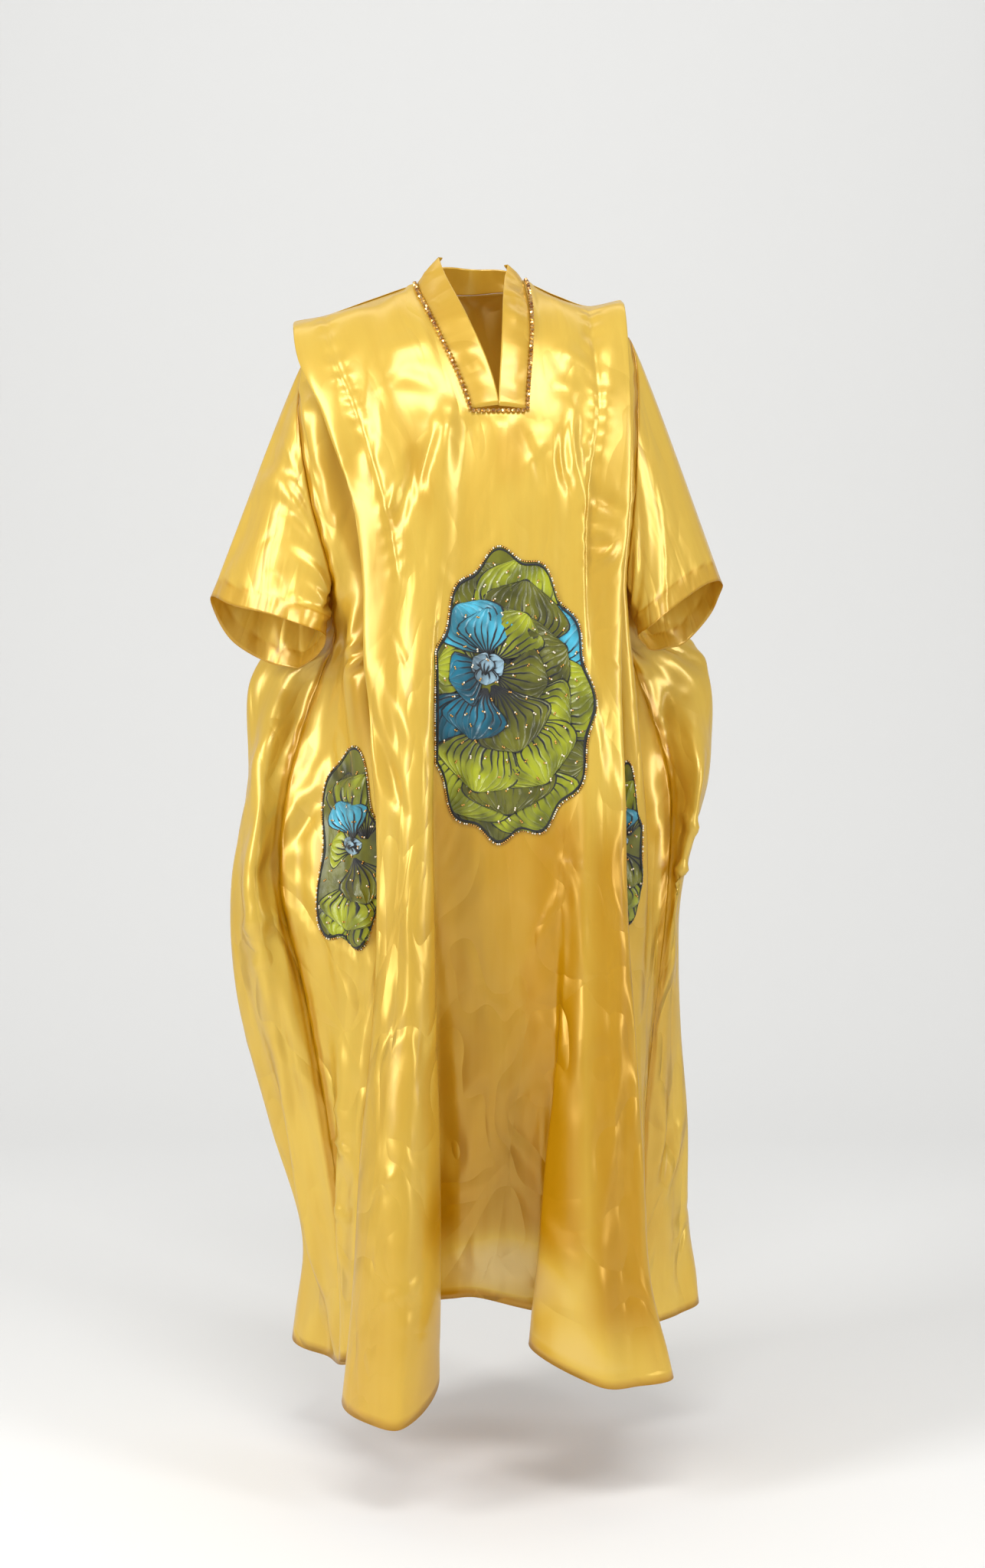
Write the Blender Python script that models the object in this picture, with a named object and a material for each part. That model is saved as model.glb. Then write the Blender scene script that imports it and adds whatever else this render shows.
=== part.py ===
"""A long gold kaftan, hollow as when it is worn: shoulder tucks, sleeves, neck band and appliques.

Run it with blender --background --python part.py, or from Blender's text editor. Metres, +Z up.
The front faces -Y. The origin is where a wearer holds it up: between the two shoulder seams.
"left" and "right" are those of somebody who looks at the front.
"""

import math

import bmesh
import bpy
import numpy as np
from mathutils import Vector
from mathutils.bvhtree import BVHTree

# Driving sizes
WALL = 0.0012  # thickness of the cloth walls
SEAM_GAP = 0.0004  # what parts two pieces along a seam
SHARPEST_SEAM = math.radians(14)  # half the angle of a folded seam, at the least
OVER_SHOULDER = (0.010, -0.004)  # how the neighbour goes on beyond a shoulder seam, in depth and height
FELT = 0.0022  # thickness of the padded appliques at their edge
PETAL_RISE = 0.0022  # how far a petal's middle stands above its edge
BEAD = 0.0062  # diameter of the neck's beads
MM = 0.001  # the tables below are in millimetres

GOLD = (0.80, 0.52, 0.12)
LEAF_GREEN = (0.28, 0.36, 0.03)
BRONZE = (0.42, 0.22, 0.05)

# Heights of the sections below the shoulder, in mm. Each fold line moves the first and last ones.
LEVELS = {
    "shoulder": 0, "shoulder_front": -12, "collarbone": -62, "neck_cut": -153, "bust": -260, "tuck_end": -370,
    "armpit": -412, "sleeve_hem": -445, "underarm": -500, "wrist": -630, "hip": -770, "thigh": -920,
    "knee": -1100, "calf": -1270, "hem": -1400,
}
FOLLOWS_SHOULDER = (1.0, 1.0, 0.75, 0, 0, 0, 0, 0, 0, 0, 0, 0, 0, 0, 0)
FOLLOWS_HEM = (0, 0, 0, 0, 0, 0, 0, 0, 0, 0, 0, 0, 0.1, 0.45, 1.0)

# One row for each fold line: its height at the shoulder and at the hem, then x and y at each level.
FOLD_LINES = {
    # the front, from the left seam to the right one
    "seam_l": (-40, -1372,
               (-214, -214, -205, -172, -143, -127, -126, -124, -121, -117, -117, -121, -136, -142, -150),
               (0, -30, -62, -98, -112, -112, -111, -110, -108, -100, -100, -102, -112, -120, -120)),
    "edge_l": (-27, -1412,
               (-253, -252, -243, -207, -173, -157, -156, -156, -154, -142, -140, -143, -160, -169, -182),
               (0, -32, -70, -110, -130, -138, -140, -142, -144, -150, -155, -166, -186, -200, -205)),
    "tuck_l": (-17, -1424,
               (-210, -208, -196, -165, -131, -110, -110, -111, -112, -110, -110, -114, -130, -138, -146),
               (0, -36, -82, -124, -148, -156, -158, -160, -164, -172, -181, -194, -220, -243, -256)),
    "crest_l": (-3, -1424,
                (-165, -163, -150, -118, -100, -90, -90, -91, -92, -90, -90, -88, -92, -96, -100),
                (0, -38, -88, -134, -156, -163, -164, -166, -169, -176, -188, -203, -234, -262, -276)),
    "out_l": (9, -1392,
              (-130, -129, -108, -76, -68, -68, -68, -69, -70, -70, -68, -62, -56, -55, -58),
              (0, -34, -86, -134, -158, -163, -164, -165, -166, -168, -170, -174, -184, -190, -180)),
    "in_l": (17, -1330,
             (-108, -106, -84, -44, -44, -50, -54, -58, -66, -84, -90, -90, -88, -90, -92),
             (0, -26, -84, -132, -158, -163, -162, -161, -158, -144, -130, -118, -108, -100, -92)),
    "neck_l": (25, -1309,
               (-89, -86, -61, -17, -14, -15, -16, -17, -20, -26, -28, -30, -30, -32, -34),
               (0, -18, -80, -130, -157, -162, -162, -161, -158, -146, -132, -120, -112, -104, -96)),
    "neck_r": (29, -1318,
               (49, 53, 59, 53, 52, 51, 50, 50, 50, 46, 44, 42, 40, 36, 32),
               (0, -18, -80, -132, -157, -162, -162, -161, -158, -147, -134, -124, -116, -108, -100)),
    "in_r": (19, -1335,
             (68, 70, 76, 80, 80, 80, 80, 80, 80, 82, 86, 90, 92, 92, 88),
             (0, -26, -84, -132, -156, -161, -161, -161, -160, -154, -146, -138, -126, -114, -104)),
    "out_r": (9, -1352,
              (88, 92, 98, 104, 104, 102, 102, 102, 102, 104, 104, 100, 82, 70, 58),
              (0, -34, -86, -130, -153, -160, -160, -161, -162, -162, -158, -158, -160, -166, -170)),
    "crest_r": (0, -1384,
                (112, 114, 120, 126, 126, 124, 124, 125, 126, 128, 128, 128, 128, 134, 146),
                (0, -37, -86, -126, -149, -156, -157, -158, -160, -166, -172, -182, -202, -224, -238)),
    "tuck_r": (-5, -1388,
               (137, 138, 141, 146, 133, 130, 133, 136, 142, 148, 150, 158, 168, 176, 196),
               (0, -36, -80, -120, -142, -151, -152, -153, -155, -160, -165, -174, -192, -208, -220)),
    "edge_r": (2, -1384,
               (180, 183, 186, 188, 186, 176, 175, 174, 174, 178, 180, 192, 201, 210, 240),
               (0, -34, -72, -108, -131, -142, -144, -146, -148, -152, -156, -165, -180, -190, -196)),
    "seam_r": (-22, -1372,
               (150, 152, 152, 152, 150, 146, 146, 146, 145, 148, 150, 160, 170, 178, 196),
               (0, -30, -62, -96, -110, -118, -118, -119, -120, -118, -116, -116, -120, -124, -126)),
    # the left side, from the front seam round to the back seam
    "fold_l": (-66, -1390,
               (-236, -238, -241, -232, -206, -166, -170, -174, -178, -166, -160, -162, -170, -174, -178),
               (0, -24, -42, -82, -98, -104, -103, -102, -98, -84, -80, -82, -90, -96, -96)),
    "arm_l": (-66, -1400,
              (-236, -238, -242, -238, -218, -186, -185, -183, -188, -186, -190, -190, -194, -196, -194),
              (0, -18, -34, -74, -92, -96, -84, -70, -24, -38, -56, -62, -66, -72, -74)),
    "side_l": (-66, -1412,
               (-236, -238, -242, -242, -226, -198, -198, -198, -224, -262, -274, -240, -208, -186, -180),
               (0, -12, -28, -62, -82, -84, -66, -42, 36, 4, -12, -22, -36, -44, -44)),
    "wing_l": (-66, -1424,
               (-235, -237, -242, -244, -238, -203, -204, -208, -262, -296, -306, -286, -264, -234, -196),
               (0, 0, -10, -34, -50, -56, -34, 6, 54, -6, -34, -30, -14, -8, -12)),
    "valley_l": (-66, -1426,
                 (-234, -236, -241, -244, -240, -207, -208, -236, -294, -312, -330, -320, -268, -226, -214),
                 (0, 10, 8, -4, -10, -18, 8, 64, 68, 20, 2, 4, 24, 32, 30)),
    "outer_l": (-66, -1416,
                (-234, -234, -240, -242, -240, -211, -213, -288, -322, -322, -342, -334, -292, -252, -268),
                (0, 18, 26, 30, 30, 14, 50, 104, 88, 58, 44, 44, 60, 74, 76)),
    "round_l": (-66, -1390,
                (-230, -230, -234, -234, -234, -211, -213, -270, -298, -300, -312, -304, -268, -242, -252),
                (0, 26, 42, 52, 50, 46, 86, 126, 124, 104, 102, 104, 118, 128, 134)),
    "bseam_l": (-40, -1345,
                (-216, -215, -212, -206, -203, -205, -208, -212, -222, -228, -232, -226, -214, -204, -206),
                (0, 24, 56, 74, 71, 64, 84, 104, 112, 128, 134, 138, 148, 156, 162)),
    # the right side, likewise
    "fold_r": (-36, -1380,
               (180, 186, 192, 190, 189, 180, 183, 186, 193, 205, 212, 206, 206, 206, 202),
               (0, -22, -42, -84, -102, -110, -111, -113, -114, -108, -88, -74, -70, -70, -74)),
    "arm_r": (-36, -1382,
              (182, 189, 195, 194, 190, 181, 181, 179, 182, 190, 212, 216, 214, 212, 206),
              (0, -16, -34, -72, -88, -97, -84, -66, -36, -36, -42, -46, -38, -30, -30)),
    "side_r": (-36, -1380,
               (183, 190, 198, 198, 194, 184, 185, 184, 208, 246, 244, 230, 214, 210, 208),
               (0, -12, -28, -60, -78, -80, -64, -40, 34, 0, -22, -20, -8, 2, 4)),
    "wing_r": (-36, -1375,
               (184, 191, 200, 202, 200, 187, 189, 194, 248, 284, 258, 246, 242, 238, 238),
               (0, 0, -10, -34, -48, -52, -32, 6, 50, -30, -28, -8, 12, 22, 24)),
    "valley_r": (-36, -1370,
                 (184, 191, 201, 206, 206, 190, 192, 232, 284, 294, 260, 256, 262, 260, 268),
                 (0, 10, 8, -4, -10, -16, 10, 64, 66, 0, 2, 20, 34, 42, 44)),
    "outer_r": (-36, -1362,
                (184, 190, 201, 208, 210, 193, 198, 284, 308, 298, 262, 264, 277, 279, 294),
                (0, 18, 26, 30, 30, 14, 52, 104, 84, 44, 36, 48, 60, 68, 72)),
    "round_r": (-36, -1350,
                (182, 187, 196, 204, 208, 194, 203, 262, 286, 284, 254, 254, 260, 260, 270),
                (0, 26, 42, 52, 50, 46, 86, 126, 122, 98, 92, 104, 116, 124, 130)),
    "bseam_r": (-22, -1338,
                (152, 155, 170, 182, 188, 192, 194, 200, 208, 218, 214, 212, 214, 214, 216),
                (0, 26, 56, 74, 74, 72, 84, 104, 112, 122, 126, 134, 144, 154, 160)),
    # the back, from the left seam to the right one
    "bedge_l": (-27, -1335,
                (-253, -252, -245, -228, -216, -208, -208, -208, -208, -206, -206, -202, -200, -196, -196),
                (0, 35, 74, 112, 122, 128, 130, 132, 136, 144, 152, 160, 172, 184, 190)),
    "btuck_l": (-17, -1322,
                (-210, -208, -200, -182, -170, -164, -163, -162, -160, -158, -158, -156, -158, -158, -160),
                (0, 38, 86, 126, 134, 136, 136, 137, 138, 142, 148, 156, 172, 188, 198)),
    "bcrest_l": (4, -1312,
                 (-150, -149, -144, -132, -120, -112, -111, -110, -108, -106, -104, -102, -104, -108, -112),
                 (0, 38, 92, 138, 146, 144, 145, 146, 148, 156, 168, 182, 204, 224, 236)),
    "bneck_l": (25, -1304,
                (-84, -82, -66, -60, -60, -60, -60, -60, -60, -58, -56, -56, -56, -58, -60),
                (0, 40, 100, 144, 150, 144, 143, 142, 140, 142, 144, 146, 152, 158, 162)),
    "bmid": (30, -1300,
             (-20, -20, -12, -6, -4, -2, -2, -1, 0, 0, 0, 0, 0, 0, 0),
             (0, 66, 108, 148, 154, 148, 148, 149, 150, 158, 168, 180, 200, 216, 226)),
    "bneck_r": (29, -1304,
                (44, 42, 46, 50, 52, 54, 54, 55, 56, 56, 56, 56, 56, 58, 60),
                (0, 40, 100, 144, 150, 144, 143, 142, 140, 142, 146, 148, 154, 162, 166)),
    "bcrest_r": (9, -1310,
                 (94, 95, 102, 106, 106, 104, 104, 104, 104, 104, 104, 104, 106, 110, 116),
                 (0, 38, 92, 138, 146, 144, 145, 146, 148, 158, 170, 184, 206, 224, 234)),
    "btuck_r": (-5, -1320,
                (137, 139, 144, 150, 150, 150, 150, 150, 150, 150, 150, 152, 156, 160, 166),
                (0, 38, 86, 126, 134, 136, 136, 137, 138, 142, 148, 154, 168, 182, 190)),
    "bedge_r": (2, -1330,
                (180, 184, 192, 198, 198, 198, 198, 199, 200, 200, 200, 200, 202, 204, 210),
                (0, 32, 74, 112, 122, 128, 130, 131, 134, 142, 150, 158, 170, 180, 184)),
}

# Each sleeve's hem ring, from its outer tip round the front: share of the ring, x, y and z in mm.
SLEEVE_HEMS = {
    "left": ((0.00, -365, -4, -390), (0.13, -326, -66, -402), (0.26, -276, -98, -413),
             (0.38, -228, -118, -430), (0.45, -204, -92, -440), (0.50, -222, -44, -466),
             (0.57, -247, 4, -482), (0.62, -264, 20, -482), (0.72, -290, 34, -477), (0.87, -342, 32, -446)),
    "right": ((0.00, 316, -2, -373), (0.13, 298, -40, -370), (0.26, 258, -80, -394),
              (0.38, 214, -104, -428), (0.45, 200, -80, -440), (0.50, 212, -44, -454),
              (0.57, 230, -6, -460), (0.62, 242, 10, -458), (0.72, 268, 28, -450), (0.87, 306, 26, -406)),
}
SLEEVE_BOW = 0.010  # how far the sleeve's top line arches over the arm
UNDERARM_BOW = 0.014  # how far its lower side stands off the body
BOW_EARLY = 0.6  # below 1, both bows are deepest nearer the armhole
SLEEVE_DOWN = 7  # steps from the armhole to the hem
HEM_STEPS = 8  # steps between two rows of the table, where the hem's curve is read off
ARMHOLE_TOP = 1  # the level where the armhole starts
ARMHOLE_FOOT = 5  # the level of the underarm

# The neck band: share of the way round from the front's left corner, then the step across it in mm.
NECK_BAND = ((0.000, 33, -2, 2), (0.060, 40, -4, 12), (0.150, 41, -3, 13), (0.235, 36, -8, 15),
             (0.310, 31, -6, 26), (0.370, 26, 2, 38), (0.430, 16, -6, 38), (0.500, 4, -10, 34),
             (0.570, -8, -8, 31), (0.630, -14, 4, 24), (0.690, -23, -4, 16), (0.765, -36, -6, 11),
             (0.850, -37, -2, 10), (0.940, -36, -2, 6), (1.000, -34, -2, 3))
BAND_WALL = 0.0016  # the band is folded double
BAND_ACROSS = 3
BEAD_SIDES = 4
BEAD_OUT = 0.0034  # from the cloth's middle to the beads' middle
BEAD_BACK = 0.0050  # and away from the band, where the band stands up
BAND_STANDS = 1.4  # how soon a leaning band pushes the beads away
BEAD_BACK_LEAST = 0.2  # the share of that step where the band lies flat
BEAD_STEPS = 3  # steps of the beads' path in each step of the seam
BEAD_NECK = 0.55  # a bead's width where it meets the next one

# The appliques: panel, middle x and z, half width and half height in mm, scallops round the edge, x limits.
FLOWERS = {
    "flower_centre": ("front_panel", 32, -523, 104, 184, 11, -64, 150),
    "flower_left": ("side_front_left", -168, -727, 38, 140, 9, -206, -136),
    "flower_right": ("side_front_right", 180, -716, 26, 108, 7, 160, 200),
}
FLOWER_SPOKES = {"flower_centre": 44, "flower_left": 27, "flower_right": 21}
FLOWER_RINGS = 5
SCALLOP = 0.04  # how deep the edge is scalloped, as a share of the flower's half size
LIFT_TURNS = 6
PROBES = ((1, 1, 1, 1), (4, 1, 1, 1), (1, 4, 1, 1), (1, 1, 4, 1), (1, 1, 1, 4),
          (1, 1, 0, 0), (0, 1, 1, 0), (0, 0, 1, 1), (1, 0, 0, 1), (3, 1, 0, 0), (0, 3, 1, 0), (1, 0, 3, 0))
LIFT_MARGIN = 0.0003

FRONT_LINES = ("seam_l", "edge_l", "tuck_l", "crest_l", "out_l", "in_l", "neck_l", "neck_r",
               "in_r", "out_r", "crest_r", "tuck_r", "edge_r", "seam_r")
RIGHT_LINES = ("seam_r", "fold_r", "arm_r", "side_r", "wing_r", "valley_r", "outer_r", "round_r",
               "bseam_r")
BACK_LINES = ("bseam_r", "bedge_r", "btuck_r", "bcrest_r", "bneck_r", "bmid", "bneck_l", "bcrest_l",
              "btuck_l", "bedge_l", "bseam_l")
LEFT_LINES = ("bseam_l", "round_l", "outer_l", "valley_l", "wing_l", "side_l", "arm_l", "fold_l",
              "seam_l")
LOOP = FRONT_LINES + RIGHT_LINES[1:] + BACK_LINES[1:] + LEFT_LINES[1:-1]
STEPS_TO_NEXT = {
    "edge_l": 3, "crest_l": 3, "out_l": 3, "in_l": 3, "neck_l": 3, "neck_r": 2, "edge_r": 2,
    "seam_r": 3, "fold_r": 2, "arm_r": 2, "round_r": 2, "bneck_r": 2, "bmid": 2,
    "bseam_l": 2, "side_l": 2, "arm_l": 2, "fold_l": 3,
}
USUAL_STEPS = 2
DOWN = (2, 2, 2, 2, 2, 1, 1, 2, 2, 2, 1, 1, 2, 1)


def clear_scene():
    for old in list(bpy.data.objects):
        bpy.data.objects.remove(old)


def material(name, colour, roughness, metallic=0.0):
    made = bpy.data.materials.new(name)
    made.use_nodes = True
    shader = made.node_tree.nodes["Principled BSDF"]
    shader.inputs["Base Color"].default_value = (*colour, 1.0)
    shader.inputs["Roughness"].default_value = roughness
    shader.inputs["Metallic"].default_value = metallic
    return made


def smooth_curve(points, steps, closed=False):
    """A smooth curve through the points, each an array of 3-D points, with that many steps in each span."""
    points = [np.asarray(p, float) for p in points]
    if closed:
        points = [points[-1]] + points + points[:2]
        steps = [1] + list(steps) + [1]
    gaps = [np.linalg.norm(b - a, axis=-1).mean() + 1e-6 for a, b in zip(points, points[1:])]
    knots = np.concatenate([[0], np.cumsum(np.sqrt(gaps))])
    slopes = [(points[1] - points[0]) / (knots[1] - knots[0])]
    for k in range(1, len(points) - 1):
        before = (points[k] - points[k - 1]) / (knots[k] - knots[k - 1])
        after = (points[k + 1] - points[k]) / (knots[k + 1] - knots[k])
        share = (knots[k] - knots[k - 1]) / (knots[k + 1] - knots[k - 1])
        slopes.append(before * (1 - share) + after * share)
    slopes.append((points[-1] - points[-2]) / (knots[-1] - knots[-2]))
    made = []
    for k, count in enumerate(steps):
        width = knots[k + 1] - knots[k]
        for i in range(count):
            t = i / count
            made.append(
                points[k] * (2 * t**3 - 3 * t**2 + 1) + slopes[k] * width * (t**3 - 2 * t**2 + t)
                + points[k + 1] * (3 * t**2 - 2 * t**3) + slopes[k + 1] * width * (t**3 - t**2)
            )
    made.append(points[-1])
    return np.array(made[1:-2] if closed else made)


def fold_line(name):
    """The corner points of a fold line, one for each level, in metres."""
    shoulder, hem, xs, ys = FOLD_LINES[name]
    heights = list(LEVELS.values())
    zs = [
        z + shoulder * top + (hem - heights[-1]) * low
        for z, top, low in zip(heights, FOLLOWS_SHOULDER, FOLLOWS_HEM)
    ]
    return np.array([xs, ys, zs], float).T * MM


def body_loop():
    """The whole body's cloth as one closed loop of columns, and the column where each fold line runs."""
    steps = [STEPS_TO_NEXT.get(name, USUAL_STEPS) for name in LOOP]
    columns = [smooth_curve(fold_line(name), DOWN) for name in LOOP]
    starts = np.concatenate([[0], np.cumsum(steps)[:-1]])
    return smooth_curve(columns, steps, closed=True), dict(zip(LOOP, starts))


def row_of(level):
    return sum(DOWN[:level])


def unit(ways):
    return ways / np.maximum(np.linalg.norm(ways, axis=-1, keepdims=True), 1e-9)


def seam_step(edge, own, other, wall=WALL):
    """How far the cloth at a seam steps back towards its own side, so that two walls clear each other."""
    own_way, other_way = unit(own - edge), unit(other - edge)
    half = np.arccos(np.clip((own_way * other_way).sum(-1), -1, 1)) / 2
    half = np.maximum(half, SHARPEST_SEAM)
    back = (SEAM_GAP / 2 + wall / 2 * np.cos(half)) / np.sin(half)
    return own_way * back[..., None]


def panel_from(loop, first, last, top=0):
    """A panel cut out of the loop, drawn back along both side seams."""
    count = len(loop)
    picked = [k % count for k in range(first, last + 1 if last >= first else last + count + 1)]
    grid = loop[picked][:, top:].copy()
    before, after = loop[(picked[0] - 1) % count][top:], loop[(picked[-1] + 1) % count][top:]
    first_edge = grid[0] + seam_step(grid[0], grid[1], before)
    last_edge = grid[-1] + seam_step(grid[-1], grid[-2], after)
    grid[0], grid[-1] = first_edge, last_edge
    return grid


def sheet_mesh(name, grid, closed=False, hole=None):
    """A one-sided sheet over a grid of points. hole is a block left open: first and last column, last row."""
    columns, rows = grid.shape[:2]
    faces = []
    for i in range(columns if closed else columns - 1):
        for j in range(rows - 1):
            if hole and hole[0] <= i < hole[1] and j < hole[2]:
                continue
            k = (i + 1) % columns
            faces.append((i * rows + j, i * rows + j + 1, k * rows + j + 1, k * rows + j))
    mesh = bpy.data.meshes.new(name)
    mesh.from_pydata([tuple(p) for p in grid.reshape(-1, 3)], [], faces)
    bm = bmesh.new()
    bm.from_mesh(mesh)
    bmesh.ops.delete(bm, geom=[v for v in bm.verts if not v.link_faces], context="VERTS")
    bmesh.ops.triangulate(bm, faces=bm.faces, quad_method="SHORT_EDGE")
    bm.to_mesh(mesh)
    bm.free()
    return mesh


def cloth_object(name, mesh, finish, wall=WALL):
    """Adds the sheet as an object, and gives it its wall with a Solidify modifier."""
    cloth = bpy.data.objects.new(name, mesh)
    bpy.context.scene.collection.objects.link(cloth)
    mesh.materials.append(finish)
    mesh.shade_smooth()
    thick = cloth.modifiers.new("wall", "SOLIDIFY")
    thick.thickness = wall
    thick.offset = 0.0
    return cloth


def solid_object(name, points, faces, finish):
    """Adds a closed body, its faces turned outwards."""
    mesh = bpy.data.meshes.new(name)
    mesh.from_pydata([tuple(p) for p in points], [], faces)
    bm = bmesh.new()
    bm.from_mesh(mesh)
    bmesh.ops.recalc_face_normals(bm, faces=bm.faces)
    bm.to_mesh(mesh)
    bm.free()
    mesh.materials.append(finish)
    mesh.shade_smooth()
    made = bpy.data.objects.new(name, mesh)
    bpy.context.scene.collection.objects.link(made)
    return made


def tree_of(mesh):
    corners = [v.co.copy() for v in mesh.vertices]
    return BVHTree.FromPolygons(corners, [tuple(p.vertices) for p in mesh.polygons])


def draw_back_row(grid, row, other):
    """Draws one end row of a panel back from the neighbour's points beyond it."""
    inner = 1 if row == 0 else -2
    grid[:, row] += seam_step(grid[:, row], grid[:, inner], other)


def front_panel(loop, at, finish):
    grid = panel_from(loop, at["seam_l"], at["seam_r"])
    beyond = grid[:, 0] + (0, OVER_SHOULDER[0], OVER_SHOULDER[1])
    draw_back_row(grid, 0, beyond)
    hole = (at["neck_l"], at["neck_r"], row_of(3))
    mesh = sheet_mesh("front_panel", grid, hole=hole)
    return cloth_object("front_panel", mesh, finish), mesh


def back_panel(loop, at, finish):
    grid = panel_from(loop, at["bseam_r"], at["bseam_l"])
    beyond = grid[:, 0] + (0, -OVER_SHOULDER[0], OVER_SHOULDER[1])
    draw_back_row(grid, 0, beyond)
    start = at["bseam_r"]
    hole = (at["bneck_r"] - start, at["bneck_l"] - start, row_of(1))
    mesh = sheet_mesh("back_panel", grid, hole=hole)
    return cloth_object("back_panel", mesh, finish), mesh


def side_panels(loop, at, side, finish):
    """The gore beside the front panel, which carries a flower, and the wing that goes round to the back."""
    letter = side[0]
    seam, edge, back_seam = at[f"seam_{letter}"], at[f"side_{letter}"], at[f"bseam_{letter}"]
    gore_ends, wing_ends = (seam, edge), (edge, back_seam)
    if side == "left":
        gore_ends, wing_ends = (edge, seam), (back_seam, edge)
    gore = panel_from(loop, *gore_ends, top=row_of(ARMHOLE_TOP))
    wing = panel_from(loop, *wing_ends, top=row_of(ARMHOLE_FOOT))
    top_way = unit(wing[:, 1] - wing[:, 0])
    wing[:, 0] += top_way * SEAM_GAP / 2
    made = {}
    for name, grid in ((f"side_front_{side}", gore), (f"side_back_{side}", wing)):
        mesh = sheet_mesh(name, grid)
        made[name] = mesh
        cloth_object(name, mesh, finish)
    return made


def armhole_ring(loop, at, side):
    """The armhole's points: down the gore, along the wing's top edge, and up the back panel."""
    letter = side[0]
    top, foot = row_of(ARMHOLE_TOP), row_of(ARMHOLE_FOOT)
    count = len(loop)
    edge, back_seam = at[f"side_{letter}"], at[f"bseam_{letter}"]
    step = 1 if side == "right" else -1
    span = (back_seam - edge) * step % count
    under = [loop[k % count][foot] for k in range(edge, edge + step * (span + 1), step)]
    front = list(loop[edge][top:foot])
    back = list(loop[back_seam][top:foot])[::-1]
    return np.array(front + under + back)


def sleeve(loop, at, side, finish):
    """A wide tube from the armhole to the elbow, its top bowed a little over the arm."""
    ring = armhole_ring(loop, at, side)
    lengths = np.linalg.norm(np.roll(ring, -1, axis=0) - ring, axis=1)
    shares = np.concatenate([[0], np.cumsum(lengths)[:-1]]) / lengths.sum() + lengths[-1] / lengths.sum() / 2
    table = SLEEVE_HEMS[side]
    keys = [row[0] for row in table] + [1.0]
    corners = [np.array(row[1:], float) * MM for row in table]
    curve = smooth_curve(corners, [HEM_STEPS] * len(table), closed=True)
    places = []
    for k in range(len(table)):
        width = keys[k + 1] - keys[k]
        places += [keys[k] + width * i / HEM_STEPS for i in range(HEM_STEPS)]
    places = np.array(places + [1.0])
    curve = np.vstack([curve, curve[:1]])
    hem = np.array([[np.interp(s, places, curve[:, axis]) for axis in range(3)] for s in shares])
    outward = 1 if side == "right" else -1
    rows = []
    for t in np.linspace(0, 1, SLEEVE_DOWN + 1):
        row = ring * (1 - t) + hem * t
        bow = math.sin(math.pi * t**BOW_EARLY)
        row[:, 2] += SLEEVE_BOW * bow * np.clip(np.cos(2 * math.pi * shares), 0, 1)
        row[:, 0] += outward * UNDERARM_BOW * bow * np.clip(-np.cos(2 * math.pi * shares), 0, 1)
        rows.append(row)
    way = rows[1] - rows[0]
    along = unit(np.roll(ring, -1, axis=0) - np.roll(ring, 1, axis=0))
    way -= along * (way * along).sum(-1, keepdims=True)
    way[ring[:, 2] < ring[:, 2].min() + SEAM_GAP, 2] = 0
    rows[0] = rows[0] + unit(way) * (WALL + SEAM_GAP)
    grid = np.array(rows).transpose(1, 0, 2)
    mesh = sheet_mesh(f"sleeve_{side}", grid, closed=True)
    return cloth_object(f"sleeve_{side}", mesh, finish)


def neck_ring(loop, at):
    """The neckline's points, from its left front corner up, round the back and down to the right one."""
    low = row_of(3)
    left = list(loop[at["neck_l"]][:low + 1])[::-1]
    right = list(loop[at["neck_r"]][:low + 1])
    behind = [loop[k][row_of(1)] for k in range(at["bneck_l"], at["bneck_r"] - 1, -1)]
    rise = list(loop[at["bneck_l"]][1:row_of(1)])
    fall = list(loop[at["bneck_r"]][1:row_of(1)])[::-1]
    return np.array(left + rise + behind + fall + right)


def band_steps(ring):
    """For each point of the neckline, the step across the band to its free edge."""
    lengths = np.linalg.norm(np.diff(ring, axis=0), axis=1)
    shares = np.concatenate([[0], np.cumsum(lengths)]) / lengths.sum()
    table = np.array(NECK_BAND)
    return np.array([np.interp(shares, table[:, 0], table[:, axis]) for axis in (1, 2, 3)]).T * MM


def neck_band(ring, finish):
    """The stand-up band, one strip that starts and ends where its two ends meet at the bottom of the V."""
    steps = band_steps(ring)
    across = np.linspace(0, 1, BAND_ACROSS + 1)
    grid = np.array([ring + steps * t for t in across]).transpose(1, 0, 2)
    grid[:, 0] += unit(grid[:, 1] - grid[:, 0]) * (WALL + SEAM_GAP)
    return cloth_object("neck_band", sheet_mesh("neck_band", grid), finish, BAND_WALL)


def bead_path(loop, at, ring, panel):
    """The seam that the beads cover, moved out from the cloth, from shoulder to shoulder."""
    low = row_of(3)
    foot = [loop[k][low] for k in range(at["neck_r"] - 1, at["neck_l"], -1)]
    steps = band_steps(ring)
    seam = list(ring[-low:]) + foot + list(ring[:low])
    away = list(-unit(steps[-low:])) + [np.array((0, 0, -1.0))] * len(foot) + list(-unit(steps[:low]))
    tree = tree_of(panel)
    path, normals = [], []
    for spot, back in zip(seam, away):
        spot, back = Vector(spot), Vector(back)
        normal = tree.find_nearest(spot)[1]
        if normal.y > 0:
            normal = -normal
        stands = min(1.0, abs(back.dot(normal)) * BAND_STANDS)
        back = (back - normal * back.dot(normal)).normalized()
        step = BEAD_BACK * (BEAD_BACK_LEAST + (1 - BEAD_BACK_LEAST) * stands)
        path.append(np.array(spot + normal * BEAD_OUT + back * step))
        normals.append(np.array(normal))
    steps = [BEAD_STEPS] * (len(path) - 1)
    return smooth_curve(path, steps), smooth_curve(normals, steps)


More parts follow.
